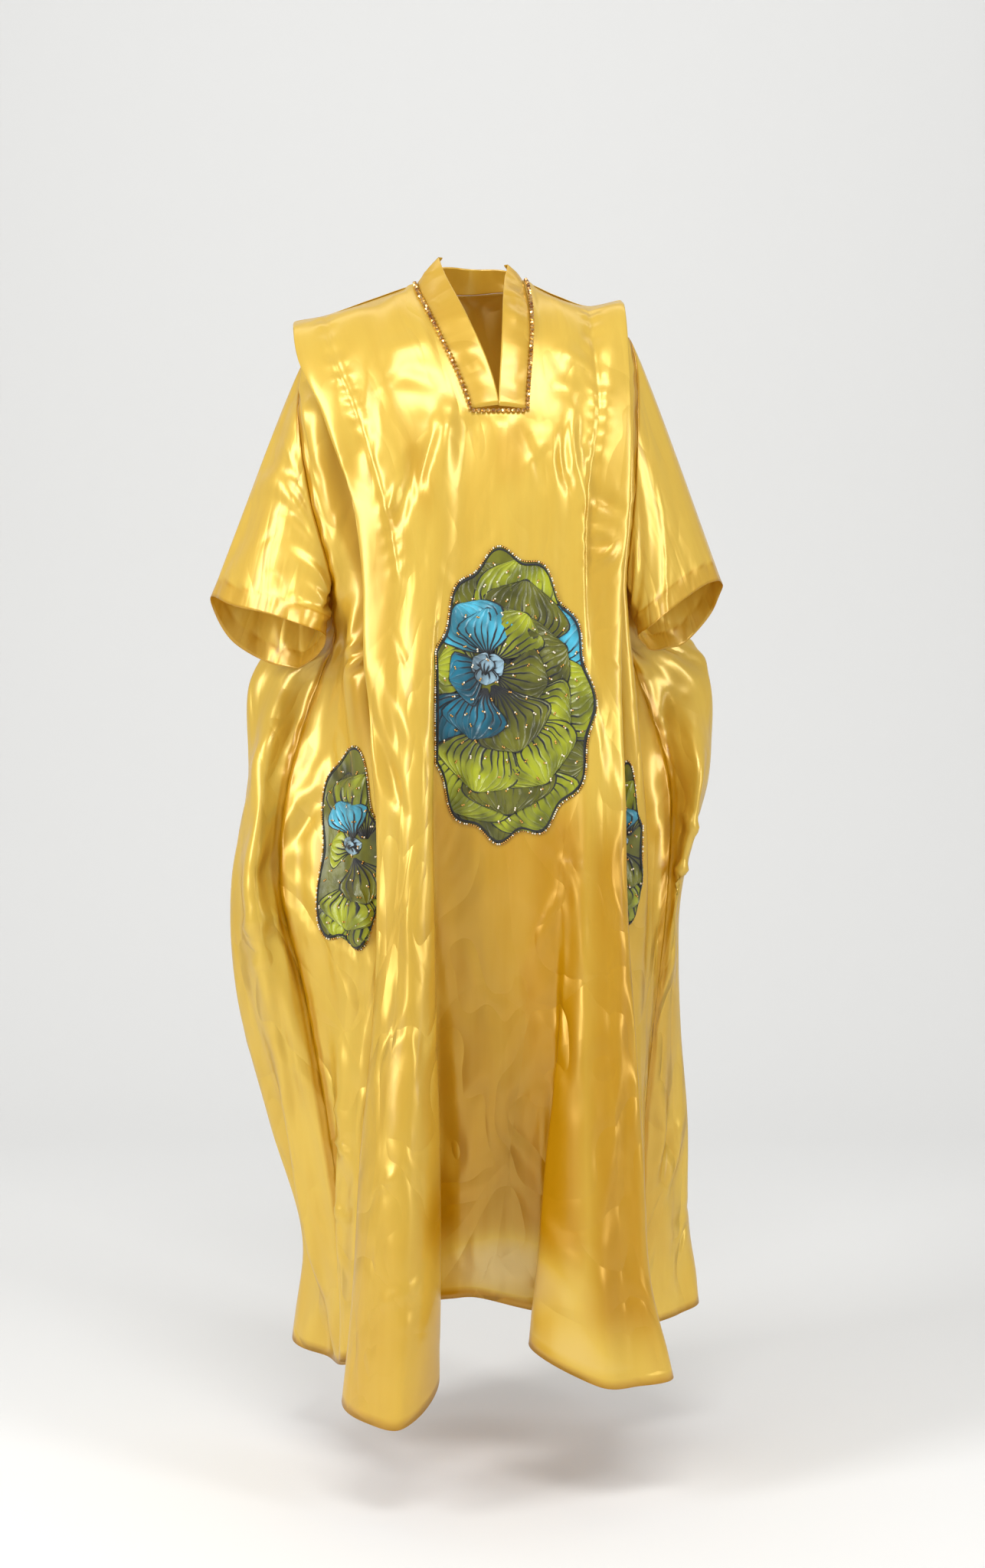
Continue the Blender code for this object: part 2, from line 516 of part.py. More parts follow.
def string_of_beads(name, path, normals, finish):
    """Beads threaded along a path of points, as one solid: each bead is wide in its middle."""
    lengths = np.linalg.norm(np.diff(path, axis=0), axis=1)
    along = np.concatenate([[0], np.cumsum(lengths)])
    count = int(along[-1] / BEAD)
    places = np.linspace(0, along[-1], 2 * count + 1)
    spots, outs = [
        np.array([[np.interp(s, along, line[:, axis]) for axis in range(3)] for s in places])
        for line in (path, normals)
    ]
    ways = unit(np.gradient(spots, axis=0))
    points = []
    for k, (spot, way, out) in enumerate(zip(spots, ways, outs)):
        side = unit(np.cross(way, out))
        up = np.cross(side, way)
        radius = BEAD / 2 * (1.0 if k % 2 else BEAD_NECK)
        for s in range(BEAD_SIDES):
            angle = math.pi * (2 * s + 1) / BEAD_SIDES
            points.append(spot + (side * math.cos(angle) + up * math.sin(angle)) * radius)
    rings = len(spots)
    faces = [
        (r * BEAD_SIDES + s, r * BEAD_SIDES + (s + 1) % BEAD_SIDES,
         (r + 1) * BEAD_SIDES + (s + 1) % BEAD_SIDES, (r + 1) * BEAD_SIDES + s)
        for r in range(rings - 1) for s in range(BEAD_SIDES)
    ]
    faces.append(tuple(range(BEAD_SIDES)))
    faces.append(tuple((rings - 1) * BEAD_SIDES + s for s in range(BEAD_SIDES)))
    return solid_object(name, points, faces, finish)


def panel_spot(tree, x, z):
    """Where the panel's front lies at x and z, and the way out of it."""
    spot, normal = tree.ray_cast(Vector((x, -1.0, z)), Vector((0, 1, 0)))[:2]
    if spot is None:
        raise SystemExit(f"no panel at {x:.3f}, {z:.3f}")
    return spot, -normal if normal.y > 0 else normal


def lift_clear(points, normals, faces, tree):
    """Raises the points wherever a face between them would come too near the panel's wall."""
    for _ in range(LIFT_TURNS):
        need = np.zeros(len(points))
        for face in faces:
            corners = [points[k] for k in face]
            for weights in PROBES:
                share = weights[:len(face)]
                if not sum(share):
                    continue
                probe = sum((c * w for c, w in zip(corners, share)), Vector()) / sum(share)
                spot, normal = panel_spot(tree, probe.x, probe.z)
                short = WALL / 2 + SEAM_GAP + LIFT_MARGIN - (probe - spot).dot(normal)
                for k in face:
                    need[k] = max(need[k], short)
        points = [p + n * float(s) for p, n, s in zip(points, normals, need)]
    return points


def flower(name, meshes, finish):
    """A padded applique: a scalloped outline laid on its panel, rising petal by petal towards its heart."""
    panel, x, z, wide, high, scallops, low, top = FLOWERS[name]
    tree = tree_of(meshes[panel])
    spokes = FLOWER_SPOKES[name]
    under, normals, rises = [], [], []
    for ring in range(FLOWER_RINGS + 1):
        share = ring / FLOWER_RINGS
        for s in range(spokes if ring else 1):
            angle = 2 * math.pi * s / spokes
            reach = 1 + SCALLOP * math.cos(scallops * angle) + SCALLOP * math.cos(3 * angle + 1)
            across, up = wide * math.cos(angle), high * math.sin(angle)
            room = ((top if across > 0 else low) - x) / across if abs(across) > 1 else reach
            reach = share * min(reach, room)
            spot, normal = panel_spot(tree, (x + across * reach) * MM, (z + up * reach) * MM)
            under.append(spot + normal * (WALL / 2 + SEAM_GAP))
            normals.append(normal)
            rises.append(PETAL_RISE * (1 - share + 0.5 * (1 + math.cos(scallops * angle)) * (1 - share**4)))
    fans = [(0, 1 + s, 1 + (s + 1) % spokes) for s in range(spokes)]
    strips = []
    for ring in range(FLOWER_RINGS - 1):
        first, second = 1 + ring * spokes, 1 + (ring + 1) * spokes
        for s in range(spokes):
            k = (s + 1) % spokes
            strips.append((first + s, second + s, second + k, first + k))
    under = lift_clear(under, normals, fans + strips, tree)
    over = [p + n * (FELT + rise) for p, n, rise in zip(under, normals, rises)]
    count = len(under)
    rim = 1 + (FLOWER_RINGS - 1) * spokes
    sides = [
        (rim + s, rim + (s + 1) % spokes, count + rim + (s + 1) % spokes, count + rim + s)
        for s in range(spokes)
    ]
    lifted = [tuple(k + count for k in face) for face in fans + strips]
    return solid_object(name, under + over, fans + strips + lifted + sides, finish)


def main():
    clear_scene()
    satin = material("gold_satin_organza", GOLD, 0.38)
    felt = material("green_applique_cloth", LEAF_GREEN, 0.55)
    bronze = material("bronze_glass_beads", BRONZE, 0.25, 0.8)
    loop, at = body_loop()
    meshes = {}
    meshes["front_panel"] = front_panel(loop, at, satin)[1]
    meshes["back_panel"] = back_panel(loop, at, satin)[1]
    for side in ("left", "right"):
        meshes.update(side_panels(loop, at, side, satin))
        sleeve(loop, at, side, satin)
    ring = neck_ring(loop, at)
    neck_band(ring, satin)
    string_of_beads("neck_beads", *bead_path(loop, at, ring, meshes["front_panel"]), bronze)
    for name in FLOWERS:
        flower(name, meshes, felt)


main()
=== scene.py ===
# %% [markdown]
# # A long gold kaftan of satin organza
# The real thing is a wide, loose garment for special days. It is cut from a crisp, thin cloth with a
# silky face, has one deep tuck stitched down over each shoulder, wide sleeves to the elbow, a V neck with
# a double band and a row of beads, and three padded flowers sewn on its front. It hangs here as when it is
# worn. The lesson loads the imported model, which gives every place and size, and then makes each piece
# again as cloth: thin, creased and slightly see-through.

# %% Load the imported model
import math

import bmesh
import bpy
import numpy as np
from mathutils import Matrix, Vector
from mathutils.bvhtree import BVHTree


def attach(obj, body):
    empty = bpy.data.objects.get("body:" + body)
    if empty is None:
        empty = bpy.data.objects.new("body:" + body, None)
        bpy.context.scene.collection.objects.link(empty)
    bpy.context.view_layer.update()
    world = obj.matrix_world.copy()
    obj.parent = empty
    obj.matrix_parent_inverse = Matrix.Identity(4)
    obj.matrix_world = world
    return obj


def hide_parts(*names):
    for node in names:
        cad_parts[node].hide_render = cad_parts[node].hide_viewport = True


MM = 0.001
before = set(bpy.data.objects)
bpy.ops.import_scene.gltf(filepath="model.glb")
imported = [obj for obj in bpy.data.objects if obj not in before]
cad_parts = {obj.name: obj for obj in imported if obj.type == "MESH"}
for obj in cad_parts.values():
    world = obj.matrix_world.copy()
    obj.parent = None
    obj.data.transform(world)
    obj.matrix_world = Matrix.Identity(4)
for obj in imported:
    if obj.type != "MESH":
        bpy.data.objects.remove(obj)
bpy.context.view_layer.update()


def add_object(name, data):
    """A new object in the scene."""
    made = bpy.data.objects.new(name, data)
    bpy.context.scene.collection.objects.link(made)
    return made


def mesh_from(name, bm):
    """A new mesh from a bmesh, which is then freed."""
    mesh = bpy.data.meshes.new(name)
    bm.to_mesh(mesh)
    bm.free()
    return mesh


def face_towards(thing, place, aim):
    """Puts a camera or a lamp at a place and turns it to its aim."""
    thing.location = place
    thing.rotation_euler = (Vector(aim) - Vector(place)).to_track_quat("-Z", "Y").to_euler()


# %% [markdown]
# ## The camera
# The picture is taken from a little below the shoulders, straight from the front and from over three
# metres away, so upright lines stay upright. A long lens keeps the wide sleeves in proportion.

# %% Set the camera
CAMERA_PLACE, CAMERA_AIM = (0.010, -3.20, -0.450), (0.010, 0.0, -0.638)
LENS, SENSOR = 55.0, 36.0  # mm
camera = add_object("camera", bpy.data.cameras.new("camera"))
face_towards(camera, CAMERA_PLACE, CAMERA_AIM)
camera.data.lens = LENS
camera.data.sensor_width = SENSOR
bpy.context.scene.camera = camera
print("the camera looks down by", round(math.degrees(camera.rotation_euler.x) - 90, 1), "degrees")

# %% [markdown]
# ## The studio
# The floor and the wall behind are one pale paper sweep. It could be two planes, but then a hard line
# shows where they meet. So one strip is extruded step by step round a quarter circle.

# %% Make the paper sweep
FLOOR = -1.552  # the feet of what carries the kaftan stand this far below the shoulders
SWEEP_FRONT, SWEEP_BACK, SWEEP_TOP = -6.0, 2.1, 5.0
SWEEP_RADIUS, QUARTER_STEPS = 1.6, 12
SWEEP_HALF = 6.0  # half its width


def paper_sweep():
    bm = bmesh.new()
    edge = [bm.verts.new((x, SWEEP_FRONT, FLOOR)) for x in (-SWEEP_HALF, SWEEP_HALF)]
    geometry = [bm.edges.new(edge)]
    way_points = []
    for step in range(QUARTER_STEPS + 1):
        turn = math.pi / 2 * step / QUARTER_STEPS
        rise = SWEEP_RADIUS * (1 - math.cos(turn))
        way_points.append(Vector((0, SWEEP_BACK + SWEEP_RADIUS * math.sin(turn), FLOOR + rise)))
    way_points.append(Vector((0, SWEEP_BACK + SWEEP_RADIUS, SWEEP_TOP)))
    here = Vector((0, SWEEP_FRONT, FLOOR))
    for there in way_points:
        grown = bmesh.ops.extrude_edge_only(bm, edges=geometry)["geom"]
        verts = [g for g in grown if isinstance(g, bmesh.types.BMVert)]
        geometry = [g for g in grown if isinstance(g, bmesh.types.BMEdge)]
        bmesh.ops.translate(bm, verts=verts, vec=there - here)
        here = there
    mesh = mesh_from("paper_sweep", bm)
    mesh.shade_smooth()
    paper = bpy.data.materials.new("paper")
    paper.use_nodes = True
    shader = paper.node_tree.nodes["Principled BSDF"]
    shader.inputs["Base Color"].default_value = (0.80, 0.80, 0.79, 1.0)
    shader.inputs["Roughness"].default_value = 0.9
    mesh.materials.append(paper)
    sweep = add_object("paper_sweep", mesh)
    return sweep


sweep = paper_sweep()
print("paper sweep with", len(sweep.data.polygons), "faces")

# %% [markdown]
# ## The light
# Satin shows its folds only by what it mirrors, so the lamps are large and soft, and there is dark
# between them. A wide lamp on each side gives the long bright lines on the folds, a lamp above the front
# lights the shoulders, and the pale sky fills the shadows.

# %% Place the lamps
LAMPS = {
    # name: place, aim, width, height, watts
    "left_window": ((-2.4, -1.6, 0.6), (0.0, 0.0, -0.6), 0.9, 2.4, 70),
    "right_window": ((2.4, -1.9, 0.3), (0.0, 0.0, -0.7), 0.6, 2.2, 40),
    "front_top": ((0.2, -2.2, 2.2), (0.0, 0.0, -0.4), 1.6, 0.8, 48),
    "back_wall": ((0.0, 1.2, 3.0), (0.0, 3.6, -0.3), 5.0, 1.0, 30),
}
for name, (place, aim, width, height, watts) in LAMPS.items():
    lamp = bpy.data.lights.new(name, "AREA")
    lamp.shape = "RECTANGLE"
    lamp.size = width
    lamp.size_y = height
    lamp.energy = watts
    face_towards(add_object(name, lamp), place, aim)
world = bpy.data.worlds.new("pale_sky")
world.use_nodes = True
sky = world.node_tree.nodes["Background"].inputs
sky["Color"].default_value = (1.0, 1.0, 1.0, 1.0)
sky["Strength"].default_value = 0.48
bpy.context.scene.world = world
bpy.context.scene.view_settings.view_transform = "Standard"
print(len(LAMPS), "lamps")

# %% [markdown]
# ## A short way to write a finish
# Wiring shader nodes by hand hides the idea behind them. Here a socket is wrapped in a small class, so
# that a finish reads like a sum: `clouds * 0.6 + 0.1` adds the Math nodes by itself. Every other node
# comes from one method, which sets its settings first and then its inputs.

# %% Make the finish helpers
class Amount:
    """A socket that can be used in a sum. Each sign adds one Math node."""

    def __init__(self, finish, socket):
        self.finish, self.socket = finish, socket

    def __rsub__(self, other):
        return self.finish.maths("SUBTRACT", other, self)

    def size(self):
        """The amount without its minus sign."""
        return self.finish.maths("ABSOLUTE", self)


SIGNS = {
    "__add__": "ADD", "__sub__": "SUBTRACT", "__mul__": "MULTIPLY", "__truediv__": "DIVIDE",
    "__pow__": "POWER", "most": "MAXIMUM", "least": "MINIMUM",
}
for sign, operation in SIGNS.items():
    setattr(Amount, sign, lambda self, other, kind=operation: self.finish.maths(kind, self, other))


class Finish:
    """A material that is being mixed, and its Principled shader."""

    def __init__(self, name, **constants):
        self.material = bpy.data.materials.new(name)
        self.material.use_nodes = True
        self.tree = self.material.node_tree
        self.shader = self.tree.nodes["Principled BSDF"]
        for socket, value in constants.items():
            self.shader.inputs[socket.replace("_", " ")].default_value = value

    def feed(self, socket, value):
        if isinstance(value, Amount):
            self.tree.links.new(value.socket, socket)
        elif socket.type == "RGBA" and len(value) == 3:
            socket.default_value = (*value, 1.0)
        else:
            socket.default_value = value

    def node(self, kind, settings=None, inputs=None, output=0):
        made = self.tree.nodes.new(kind)
        for key, value in (settings or {}).items():
            setattr(made, key, value)
        for key, value in (inputs or {}).items():
            self.feed(made.inputs[key], value)
        return Amount(self, made.outputs[output])

    def maths(self, operation, *values):
        return self.node("ShaderNodeMath", {"operation": operation}, dict(enumerate(values)))

    def set(self, socket, value):
        self.feed(self.shader.inputs[socket], value)

    def uv(self, scale, turn=0.0):
        """The piece's own cloth coordinates in metres, stretched and turned."""
        flat = self.node("ShaderNodeUVMap", {"uv_map": "cloth"})
        return self.node("ShaderNodeMapping", {}, {"Vector": flat, "Scale": scale, "Rotation": (0, 0, turn)})

    def place(self, scale=(1, 1, 1)):
        """The point's own place in metres, stretched."""
        here = self.node("ShaderNodeTexCoord", output=3)
        return self.node("ShaderNodeMapping", {}, {"Vector": here, "Scale": scale})

    def part(self, vector, axis):
        split = self.node("ShaderNodeSeparateXYZ", {}, {0: vector})
        return Amount(self, split.socket.node.outputs[axis])

    def noise(self, where, detail=2.0, roughness=0.5, warp=0.0):
        knobs = {"Vector": where, "Scale": 1.0, "Detail": detail, "Roughness": roughness, "Distortion": warp}
        return self.node("ShaderNodeTexNoise", {}, knobs)

    def mark(self, name, output=2):
        """A number painted on the piece's points, or a colour with output 0."""
        return self.node("ShaderNodeAttribute", {"attribute_name": name}, output=output)

    def blend(self, share, first, second):
        """The first colour at 0 and the second one at 1. A Mix node has its colours at these numbers."""
        return self.node("ShaderNodeMix", {"data_type": "RGBA"}, {0: share, 6: first, 7: second}, output=2)

    def stretch(self, value, low, high, to_low=0.0, to_high=1.0):
        """Spreads a range of a value over another one, and stops at its ends."""
        knobs = {0: value, 1: low, 2: high, 3: to_low, 4: to_high}
        return self.node("ShaderNodeMapRange", {"clamp": True}, knobs)

    def bump(self, height, distance, strength=1.0):
        return self.node("ShaderNodeBump", {}, {"Height": height, "Distance": distance, "Strength": strength})


print("finish helpers ready")

# %% [markdown]
# ## The cut and its fold lines
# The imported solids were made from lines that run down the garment: seams, fold crests and valleys. The
# same lines are used again here, so that the cloth lies where the solids are. Each one has its height at
# the shoulder and at the hem, and then its place at fifteen levels.

# %% Write down the fold lines
# Heights of the sections below the shoulder, in mm. Each fold line moves the first and last ones.
LEVELS = {
    "shoulder": 0, "shoulder_front": -12, "collarbone": -62, "neck_cut": -153, "bust": -260, "tuck_end": -370,
    "armpit": -412, "sleeve_hem": -445, "underarm": -500, "wrist": -630, "hip": -770, "thigh": -920,
    "knee": -1100, "calf": -1270, "hem": -1400,
}
FOLLOWS_SHOULDER = np.array((1.0, 1.0, 0.75) + (0,) * 12)
FOLLOWS_HEM = np.array((0,) * 12 + (0.1, 0.45, 1.0))

# One row for each fold line: its height at the shoulder and at the hem, then x and y at each level.
FOLD_LINES = {
    # the front, from the left seam to the right one
    "seam_l": (-40, -1372,
      (-214, -214, -205, -172, -143, -127, -126, -124, -121, -117, -117, -121, -136, -142, -150),
      (0, -30, -62, -98, -112, -112, -111, -110, -108, -100, -100, -102, -112, -120, -120)),
    "edge_l": (-27, -1412,
      (-253, -252, -243, -207, -173, -157, -156, -156, -154, -142, -140, -143, -160, -169, -182),
      (0, -32, -70, -110, -130, -138, -140, -142, -144, -150, -155, -166, -186, -200, -205)),
    "tuck_l": (-17, -1424,
      (-210, -208, -196, -165, -131, -110, -110, -111, -112, -110, -110, -114, -130, -138, -146),
      (0, -36, -82, -124, -148, -156, -158, -160, -164, -172, -181, -194, -220, -243, -256)),
    "crest_l": (-3, -1424,
      (-165, -163, -150, -118, -100, -90, -90, -91, -92, -90, -90, -88, -92, -96, -100),
      (0, -38, -88, -134, -156, -163, -164, -166, -169, -176, -188, -203, -234, -262, -276)),
    "out_l": (9, -1392,
      (-130, -129, -108, -76, -68, -68, -68, -69, -70, -70, -68, -62, -56, -55, -58),
      (0, -34, -86, -134, -158, -163, -164, -165, -166, -168, -170, -174, -184, -190, -180)),
    "in_l": (17, -1330,
      (-108, -106, -84, -44, -44, -50, -54, -58, -66, -84, -90, -90, -88, -90, -92),
      (0, -26, -84, -132, -158, -163, -162, -161, -158, -144, -130, -118, -108, -100, -92)),
    "neck_l": (25, -1309,
      (-89, -86, -61, -17, -14, -15, -16, -17, -20, -26, -28, -30, -30, -32, -34),
      (0, -18, -80, -130, -157, -162, -162, -161, -158, -146, -132, -120, -112, -104, -96)),
    "neck_r": (29, -1318,
      (49, 53, 59, 53, 52, 51, 50, 50, 50, 46, 44, 42, 40, 36, 32),
      (0, -18, -80, -132, -157, -162, -162, -161, -158, -147, -134, -124, -116, -108, -100)),
    "in_r": (19, -1335,
      (68, 70, 76, 80, 80, 80, 80, 80, 80, 82, 86, 90, 92, 92, 88),
      (0, -26, -84, -132, -156, -161, -161, -161, -160, -154, -146, -138, -126, -114, -104)),
    "out_r": (9, -1352,
      (88, 92, 98, 104, 104, 102, 102, 102, 102, 104, 104, 100, 82, 70, 58),
      (0, -34, -86, -130, -153, -160, -160, -161, -162, -162, -158, -158, -160, -166, -170)),
    "crest_r": (0, -1384,
      (112, 114, 120, 126, 126, 124, 124, 125, 126, 128, 128, 128, 128, 134, 146),
      (0, -37, -86, -126, -149, -156, -157, -158, -160, -166, -172, -182, -202, -224, -238)),
    "tuck_r": (-5, -1388,
      (137, 138, 141, 146, 133, 130, 133, 136, 142, 148, 150, 158, 168, 176, 196),
      (0, -36, -80, -120, -142, -151, -152, -153, -155, -160, -165, -174, -192, -208, -220)),
    "edge_r": (2, -1384,
      (180, 183, 186, 188, 186, 176, 175, 174, 174, 178, 180, 192, 201, 210, 240),
      (0, -34, -72, -108, -131, -142, -144, -146, -148, -152, -156, -165, -180, -190, -196)),
    "seam_r": (-22, -1372,
      (150, 152, 152, 152, 150, 146, 146, 146, 145, 148, 150, 160, 170, 178, 196),
      (0, -30, -62, -96, -110, -118, -118, -119, -120, -118, -116, -116, -120, -124, -126)),
    # the left side, from the front seam round to the back seam
    "fold_l": (-66, -1390,
      (-236, -238, -241, -232, -206, -166, -170, -174, -178, -166, -160, -162, -170, -174, -178),
      (0, -24, -42, -82, -98, -104, -103, -102, -98, -84, -80, -82, -90, -96, -96)),
    "arm_l": (-66, -1400,
      (-236, -238, -242, -238, -218, -186, -185, -183, -188, -186, -190, -190, -194, -196, -194),
      (0, -18, -34, -74, -92, -96, -84, -70, -24, -38, -56, -62, -66, -72, -74)),
    "side_l": (-66, -1412,
      (-236, -238, -242, -242, -226, -198, -198, -198, -224, -262, -274, -240, -208, -186, -180),
      (0, -12, -28, -62, -82, -84, -66, -42, 36, 4, -12, -22, -36, -44, -44)),
    "wing_l": (-66, -1424,
      (-235, -237, -242, -244, -238, -203, -204, -208, -262, -296, -306, -286, -264, -234, -196),
      (0, 0, -10, -34, -50, -56, -34, 6, 54, -6, -34, -30, -14, -8, -12)),
    "valley_l": (-66, -1426,
      (-234, -236, -241, -244, -240, -207, -208, -236, -294, -312, -330, -320, -268, -226, -214),
      (0, 10, 8, -4, -10, -18, 8, 64, 68, 20, 2, 4, 24, 32, 30)),
    "outer_l": (-66, -1416,
      (-234, -234, -240, -242, -240, -211, -213, -288, -322, -322, -342, -334, -292, -252, -268),
      (0, 18, 26, 30, 30, 14, 50, 104, 88, 58, 44, 44, 60, 74, 76)),
    "round_l": (-66, -1390,
      (-230, -230, -234, -234, -234, -211, -213, -270, -298, -300, -312, -304, -268, -242, -252),
      (0, 26, 42, 52, 50, 46, 86, 126, 124, 104, 102, 104, 118, 128, 134)),
    "bseam_l": (-40, -1345,
      (-216, -215, -212, -206, -203, -205, -208, -212, -222, -228, -232, -226, -214, -204, -206),
      (0, 24, 56, 74, 71, 64, 84, 104, 112, 128, 134, 138, 148, 156, 162)),
    # the right side, likewise
    "fold_r": (-36, -1380,
      (180, 186, 192, 190, 189, 180, 183, 186, 193, 205, 212, 206, 206, 206, 202),
      (0, -22, -42, -84, -102, -110, -111, -113, -114, -108, -88, -74, -70, -70, -74)),
    "arm_r": (-36, -1382,
      (182, 189, 195, 194, 190, 181, 181, 179, 182, 190, 212, 216, 214, 212, 206),
      (0, -16, -34, -72, -88, -97, -84, -66, -36, -36, -42, -46, -38, -30, -30)),
    "side_r": (-36, -1380,
      (183, 190, 198, 198, 194, 184, 185, 184, 208, 246, 244, 230, 214, 210, 208),
      (0, -12, -28, -60, -78, -80, -64, -40, 34, 0, -22, -20, -8, 2, 4)),
    "wing_r": (-36, -1375,
      (184, 191, 200, 202, 200, 187, 189, 194, 248, 284, 258, 246, 242, 238, 238),
      (0, 0, -10, -34, -48, -52, -32, 6, 50, -30, -28, -8, 12, 22, 24)),
    "valley_r": (-36, -1370,
      (184, 191, 201, 206, 206, 190, 192, 232, 284, 294, 260, 256, 262, 260, 268),
      (0, 10, 8, -4, -10, -16, 10, 64, 66, 0, 2, 20, 34, 42, 44)),
    "outer_r": (-36, -1362,
      (184, 190, 201, 208, 210, 193, 198, 284, 308, 298, 262, 264, 277, 279, 294),
      (0, 18, 26, 30, 30, 14, 52, 104, 84, 44, 36, 48, 60, 68, 72)),
    "round_r": (-36, -1350,
      (182, 187, 196, 204, 208, 194, 203, 262, 286, 284, 254, 254, 260, 260, 270),
      (0, 26, 42, 52, 50, 46, 86, 126, 122, 98, 92, 104, 116, 124, 130)),
    "bseam_r": (-22, -1338,
      (152, 155, 170, 182, 188, 192, 194, 200, 208, 218, 214, 212, 214, 214, 216),
      (0, 26, 56, 74, 74, 72, 84, 104, 112, 122, 126, 134, 144, 154, 160)),
    # the back, from the left seam to the right one
    "bedge_l": (-27, -1335,
      (-253, -252, -245, -228, -216, -208, -208, -208, -208, -206, -206, -202, -200, -196, -196),
      (0, 35, 74, 112, 122, 128, 130, 132, 136, 144, 152, 160, 172, 184, 190)),
    "btuck_l": (-17, -1322,
      (-210, -208, -200, -182, -170, -164, -163, -162, -160, -158, -158, -156, -158, -158, -160),
      (0, 38, 86, 126, 134, 136, 136, 137, 138, 142, 148, 156, 172, 188, 198)),
    "bcrest_l": (4, -1312,
      (-150, -149, -144, -132, -120, -112, -111, -110, -108, -106, -104, -102, -104, -108, -112),
      (0, 38, 92, 138, 146, 144, 145, 146, 148, 156, 168, 182, 204, 224, 236)),
    "bneck_l": (25, -1304,
      (-84, -82, -66, -60, -60, -60, -60, -60, -60, -58, -56, -56, -56, -58, -60),
      (0, 40, 100, 144, 150, 144, 143, 142, 140, 142, 144, 146, 152, 158, 162)),
    "bmid": (30, -1300,
      (-20, -20, -12, -6, -4, -2, -2, -1, 0, 0, 0, 0, 0, 0, 0),
      (0, 66, 108, 148, 154, 148, 148, 149, 150, 158, 168, 180, 200, 216, 226)),
    "bneck_r": (29, -1304,
      (44, 42, 46, 50, 52, 54, 54, 55, 56, 56, 56, 56, 56, 58, 60),
      (0, 40, 100, 144, 150, 144, 143, 142, 140, 142, 146, 148, 154, 162, 166)),
    "bcrest_r": (9, -1310,
      (94, 95, 102, 106, 106, 104, 104, 104, 104, 104, 104, 104, 106, 110, 116),
      (0, 38, 92, 138, 146, 144, 145, 146, 148, 158, 170, 184, 206, 224, 234)),
    "btuck_r": (-5, -1320,
      (137, 139, 144, 150, 150, 150, 150, 150, 150, 150, 150, 152, 156, 160, 166),
      (0, 38, 86, 126, 134, 136, 136, 137, 138, 142, 148, 154, 168, 182, 190)),
    "bedge_r": (2, -1330,
      (180, 184, 192, 198, 198, 198, 198, 199, 200, 200, 200, 200, 202, 204, 210),
      (0, 32, 74, 112, 122, 128, 130, 131, 134, 142, 150, 158, 170, 180, 184)),
}

# The fold lines in the order in which they follow each other round the body, from the left front seam.
LOOP = (
    "seam_l", "edge_l", "tuck_l", "crest_l", "out_l", "in_l", "neck_l", "neck_r", "in_r", "out_r", "crest_r",
    "tuck_r", "edge_r", "seam_r", "fold_r", "arm_r", "side_r", "wing_r", "valley_r", "outer_r", "round_r",
    "bseam_r", "bedge_r", "btuck_r", "bcrest_r", "bneck_r", "bmid", "bneck_l", "bcrest_l", "btuck_l",
    "bedge_l", "bseam_l", "round_l", "outer_l", "valley_l", "wing_l", "side_l", "arm_l", "fold_l",
)
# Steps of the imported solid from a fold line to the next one, and from a level to the next one.
MORE_STEPS = dict.fromkeys(("edge_l", "crest_l", "out_l", "in_l", "neck_l", "seam_r", "fold_l"), 3)
USUAL_STEPS = 2
STEPS_DOWN = (2, 2, 2, 2, 2, 1, 1, 2, 2, 2, 1, 1, 2, 1)

print(len(FOLD_LINES), "fold lines at", len(LEVELS), "levels")

# %% [markdown]
# ## From fold lines to cloth
# The body is one closed loop of cloth round the wearer's space. A smooth curve runs down each fold line,
# and another one runs round through all of them at each height. Cut at the seams, the loop gives the
# front, the back, the side pieces and the wings, which then meet exactly. A cloth simulation could find
# such folds, but never these ones, so their lines are given and only the curves are worked out.

# %% Curves through the fold lines
FINER = 6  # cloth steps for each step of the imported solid, across the folds
FINER_DOWN = 10  # and down them


def smooth_curve(points, steps, closed=False):
    """A smooth curve through points, or through whole lines of points, with some steps in each span."""
    points = [np.asarray(p, float) for p in points]
    if closed:
        points = [points[-1]] + points + points[:2]
        steps = [1] + list(steps) + [1]
    gaps = [np.linalg.norm(b - a, axis=-1).mean() + 1e-6 for a, b in zip(points, points[1:])]
    knots = np.concatenate([[0], np.cumsum(np.sqrt(gaps))])
    slopes = [(points[1] - points[0]) / (knots[1] - knots[0])]
    for k in range(1, len(points) - 1):
        before = (points[k] - points[k - 1]) / (knots[k] - knots[k - 1])
        after = (points[k + 1] - points[k]) / (knots[k + 1] - knots[k])
        share = (knots[k] - knots[k - 1]) / (knots[k + 1] - knots[k - 1])
        slopes.append(before * (1 - share) + after * share)
    slopes.append((points[-1] - points[-2]) / (knots[-1] - knots[-2]))
    made = []
    for k, count in enumerate(steps):
        width = knots[k + 1] - knots[k]
        for t in np.arange(count) / count:
            made.append(
                points[k] * (2 * t**3 - 3 * t**2 + 1) + slopes[k] * width * (t**3 - 2 * t**2 + t)
                + points[k + 1] * (3 * t**2 - 2 * t**3) + slopes[k + 1] * width * (t**3 - t**2)
            )
    made.append(points[-1])
    return np.array(made[1:-2] if closed else made)


def fold_line(name):
    """The points of a fold line, one at each level, in metres."""
    shoulder, hem, xs, ys = FOLD_LINES[name]
    zs = np.array(list(LEVELS.values())) + shoulder * FOLLOWS_SHOULDER + (hem - LEVELS["hem"]) * FOLLOWS_HEM
    return np.array([xs, ys, zs], float).T * MM


def row_of(level):
    """The row of cloth points at a level."""
    return sum(STEPS_DOWN[:list(LEVELS).index(level)]) * FINER_DOWN


